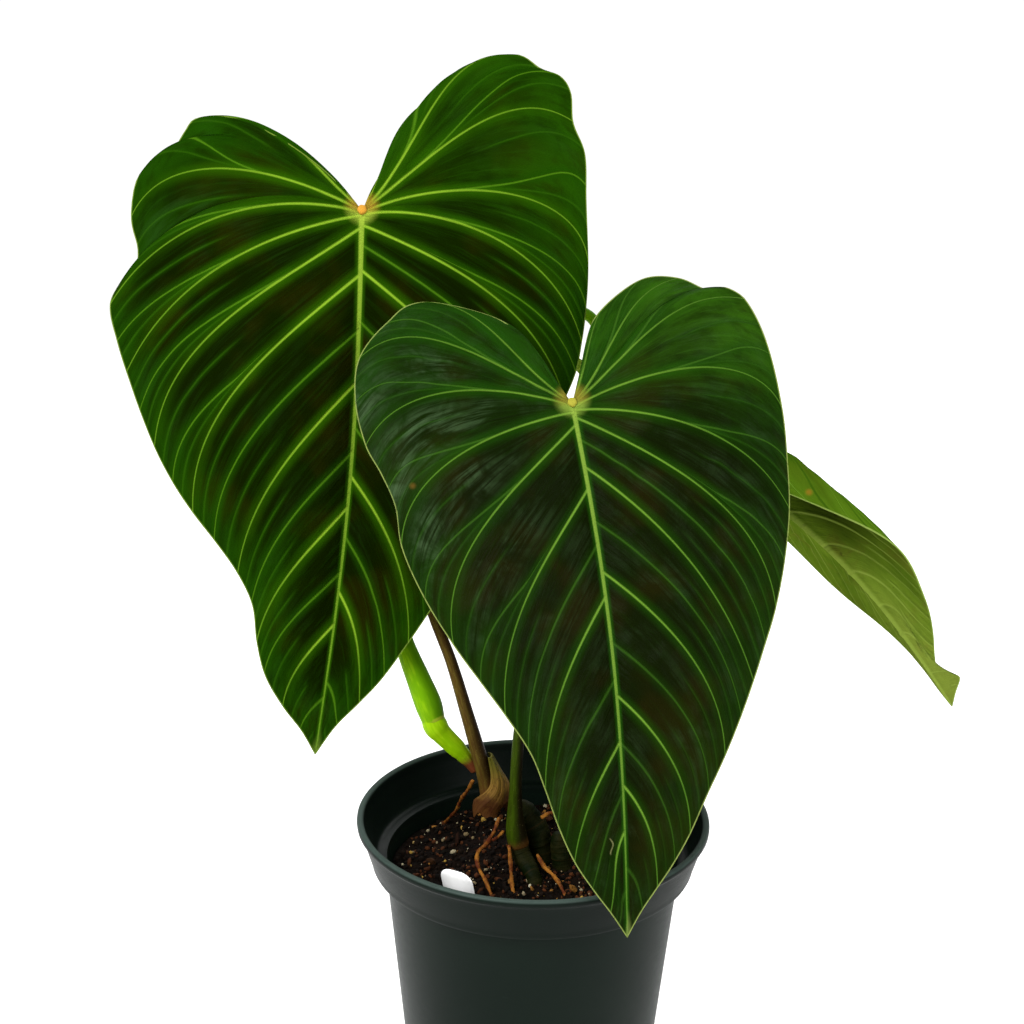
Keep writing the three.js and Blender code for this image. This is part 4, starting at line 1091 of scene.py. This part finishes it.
# ---------------------------------------------------------------- potting mix
MIX_LEVEL = 119         # mm above the pot's underside
MIX_RADIUS = 61.3       # at the top, mm
MIX_SLOPE = (64 - 51.5) / 125       # how fast the pot narrows
MIX_DEPTH = 112         # over which it narrows, mm
MIX_FOOT = 5.5          # height of the lower end, mm
TOP_RINGS, WALL_RINGS = 84, 16


def mix_height(x, y):
    """The top of the mix: gently uneven, with lumps and a fine crumb."""
    points = stack(x, y, 0)
    edge = step((MIX_RADIUS - np.hypot(x, y)) / 3)
    return (MIX_LEVEL - 0.2 + 0.9 * roughen(points, 26, 1) + edge * (
        0.8 * roughen(points, 7, 2) + 0.5 * np.abs(roughen(points, 3.0, 3))))


def peat():
    m = Finish("peat_mix")
    own = m.place()
    patch = m.noise(own, 110, 4, 0.6)
    grit = m.noise(own, 900, 4, 0.7)
    colour = m.layers(paint(9, 6, 3), (m.fade(patch, 0.35, 0.65), paint(26, 15, 8)),
                      (m.fade(grit, 0.6, 0.75) * 0.5, paint(54, 28, 14)))
    return m.close(colour, 0.9 + 0.1 * (grit - 0.5), 0.05, m.cells(own, 420) + grit * 0.6,
                   0.0016, 1.0)


def make_mix():
    """The mix fills the pot: a disc of uneven top, then the pot's inner slope down to its floor."""
    rings = np.concatenate([np.linspace(0, 1, TOP_RINGS), np.full(WALL_RINGS, 1.0), [0.9, 0.0]])
    fall = np.concatenate([np.zeros(TOP_RINGS), np.linspace(0.04, 1, WALL_RINGS), [1.03, 1.03]])
    rings, fall = rings[:, None], fall[:, None]
    turn = np.linspace(0, TURN, 221)[None, :]
    r = rings * (MIX_RADIUS - MIX_SLOPE * fall * MIX_DEPTH)
    x, y = r * np.cos(turn), r * np.sin(turn)
    z = np.where(fall > 0, (MIX_LEVEL - 0.5) * (1 - fall) + MIX_FOOT * fall, mix_height(x, y))
    make_round("peat", stack(x, y, z), peat(), "mix", ("potting_mix",), crease=80)


make_mix()


def scatter(name, spots, sizes, shape, material, slot, seed, nodes=(), crease=180):
    """Many small lumps in one mesh. A lump is a ball of six sides and four bands, stretched by
    its own random proportions (around `shape`), dented by a wave, turned at random and set on
    the mix at its spot. `lot` holds its random number."""
    draw = np.random.default_rng(seed)
    count = len(spots)
    high = np.linspace(0, math.pi, 5)[:, None]
    turn = np.linspace(0, TURN, 7)[None, :]
    ball = stack(np.sin(high) * np.cos(turn), np.sin(high) * np.sin(turn), np.cos(high))
    ball = ball.reshape(-1, 3)
    dent = draw.normal(size=(count, 3)) * 1.6
    lumps = ball[None] * (1 + 0.22 * np.sin(ball @ dent.T).T[:, :, None])
    lumps = lumps * (np.array(shape) * draw.uniform(0.75, 1.25, (count, 3)))[:, None]
    w, a, b, c = unit(draw.normal(size=(count, 4))).T
    turned = np.stack([
        stack(1 - 2 * (b * b + c * c), 2 * (a * b - c * w), 2 * (a * c + b * w)),
        stack(2 * (a * b + c * w), 1 - 2 * (a * a + c * c), 2 * (b * c - a * w)),
        stack(2 * (a * c - b * w), 2 * (b * c + a * w), 1 - 2 * (a * a + b * b))], 1)
    lumps = np.einsum("nij,nkj->nki", turned, lumps) * sizes[:, None, None] / 2
    x, y = spots.T
    centre = stack(x, y, mix_height(x, y) + sizes * 0.25 * min(shape))
    samples = (lumps + centre[:, None]).reshape(-1, 3)
    quads, weld = copies(5, 7, count)
    lot = np.repeat(draw.uniform(size=(count, 3)), len(ball), axis=0)
    return make_piece(name, samples, quads, weld, material, slot, nodes, {"lot": lot}, crease)


def bit_finish(name, pale, deep, odd, rough, scale):
    """Loose bits: each between two colours by its own number, a few of an odd colour."""
    m = Finish(name)
    lot, other, _ = m.attribute("lot")
    patch = m.noise(m.place(), scale, 4, 0.65)
    colour = m.layers(m.mix(lot, pale, deep), (m.fade(other, 0.8, 0.86), odd),
                      (m.fade(patch, 0.4, 0.75) * 0.5, deep))
    return m.close(colour, rough + 0.2 * (patch - 0.5), 0.1, patch, 0.0006, 0.9)


def spread(count, reach, seed):
    """Random spots, even over a disc, and a random number from 0 to 1 for each."""
    draw = np.random.default_rng(seed)
    r = reach * np.sqrt(draw.uniform(0, 1, count))
    a = draw.uniform(0, TURN, count)
    return stack(r * np.cos(a), r * np.sin(a)), draw.uniform(0, 1, count)


perlite = bit_finish("perlite", paint(214, 204, 172), paint(120, 98, 58), paint(190, 152, 66),
                     0.75, 900)
bark = bit_finish("bark", paint(92, 50, 22), paint(26, 13, 7), paint(168, 116, 50), 0.8, 500)
crumbs = bit_finish("peat_crumbs", paint(30, 18, 9), paint(10, 6, 3), paint(84, 46, 22), 0.92, 700)

spots, luck = spread(1500, 60, 11)
scatter("crumbs", spots, 0.9 + (3.2 - 0.9) * luck, (1, 0.8, 0.6), crumbs, "mix", 12)
spots, luck = spread(430, 59, 21)
scatter("bark_bits", spots, 0.9 + 3.2 * luck ** 2, (1, 0.6, 0.4), bark, "bark", 22)
spots, luck = spread(330, 59, 31)
scatter("perlite_bits", spots, 0.6 + 2.2 * luck ** 4, (1, 0.9, 0.8), perlite, "mix", 32)
# [x, y, size]
CHIPS = np.array([[-44, 3, 9], [-33, 24, 7], [-52, -14, 8], [18, -20, 8], [40, 2, 9],
                  [5, 44, 10]], float)
scatter("bark_chips", CHIPS[:, :2], CHIPS[:, 2], (1, 0.65, 0.4), bark, "bark", 41,
        tuple(f"bark_chip_{i + 1}" for i in range(len(CHIPS))), crease=30)


# ---------------------------------------------------------------- floor, light and camera
FLOOR_REACH = 1.6       # m
FLOOR_GLOW = 0.45
CAMERA_TILT, CAMERA_ROLL = 17.9, 0.83       # degrees
CAMERA_PLACE = (-0.011, -0.7215, 0.5155)
LENS = 65.1             # mm, on a sensor 36 mm wide


def make_floor():
    mesh = bpy.data.meshes.new("floor")
    mesh.from_pydata([(x * FLOOR_REACH, y * FLOOR_REACH, 0)
                      for x, y in ((-1, -1), (1, -1), (1, 1), (-1, 1))], [], [(0, 1, 2, 3)])
    m = Finish("pale_floor")
    mesh.materials.append(m.end("OutputMaterial", m.node("BsdfPrincipled", {
        "Base Color": (0.86, 0.86, 0.86), "Roughness": 0.9, "Specular IOR Level": 0.0,
        "Emission Color": (1, 1, 1), "Emission Strength": FLOOR_GLOW})))
    floor = add_object("floor", mesh)


make_floor()


def stand(name, data, right, up, back, place):
    """Puts a lamp or camera at `place`, facing away from `back`."""
    made = add_object(name, data)
    made.matrix_world = Matrix([[*row, at] for row, at in zip(stack(right, up, back), place)]
                               + [[0, 0, 0, 1]])
    return made


def softbox(name, place, aim, size, power):
    """A square area light at `place` that faces `aim`."""
    light = bpy.data.lights.new(name, "AREA")
    light.shape = "SQUARE"
    light.size = size
    light.energy = power
    back = unit(np.subtract(place, aim))
    right = unit(np.cross([0, 0, 1], back))
    stand(name, light, right, np.cross(back, right), back, place)


softbox("key", (-0.8, -0.7, 1.2), (0, 0, 0.25), 0.9, 27)
softbox("fill", (0.75, -1.0, 0.75), (0, 0, 0.2), 0.9, 13)
softbox("back", (0.3, 1.1, 1.2), (0, 0, 0.2), 1.0, 12)

# the room seen by the camera is brighter than the light it gives
studio = Finish("studio", "worlds")
seen = studio.node("LightPath", {}, "Is Camera Ray")
level = studio.node("MapRange", {"Value": seen, "To Min": 0.5, "To Max": 1.05})
shine = studio.node("Background", {"Color": (1, 1, 1), "Strength": level})
bpy.context.scene.world = studio.end("OutputWorld", shine)
bpy.context.scene.view_settings.view_transform = "Standard"


def make_camera():
    """Looks along +Y, tilted down, with a slight roll."""
    tilt, roll = math.radians(CAMERA_TILT), math.radians(CAMERA_ROLL)
    forward = np.array([0, math.cos(tilt), -math.sin(tilt)])
    level = np.array([1.0, 0, 0])
    rise = np.cross(level, forward)
    right = math.cos(roll) * level + math.sin(roll) * rise
    up = math.cos(roll) * rise - math.sin(roll) * level
    data = bpy.data.cameras.new("camera")
    data.lens = LENS
    data.sensor_width = 36
    data.clip_start = 0.05
    bpy.context.scene.camera = stand("camera", data, right, up, -forward, CAMERA_PLACE)


make_camera()
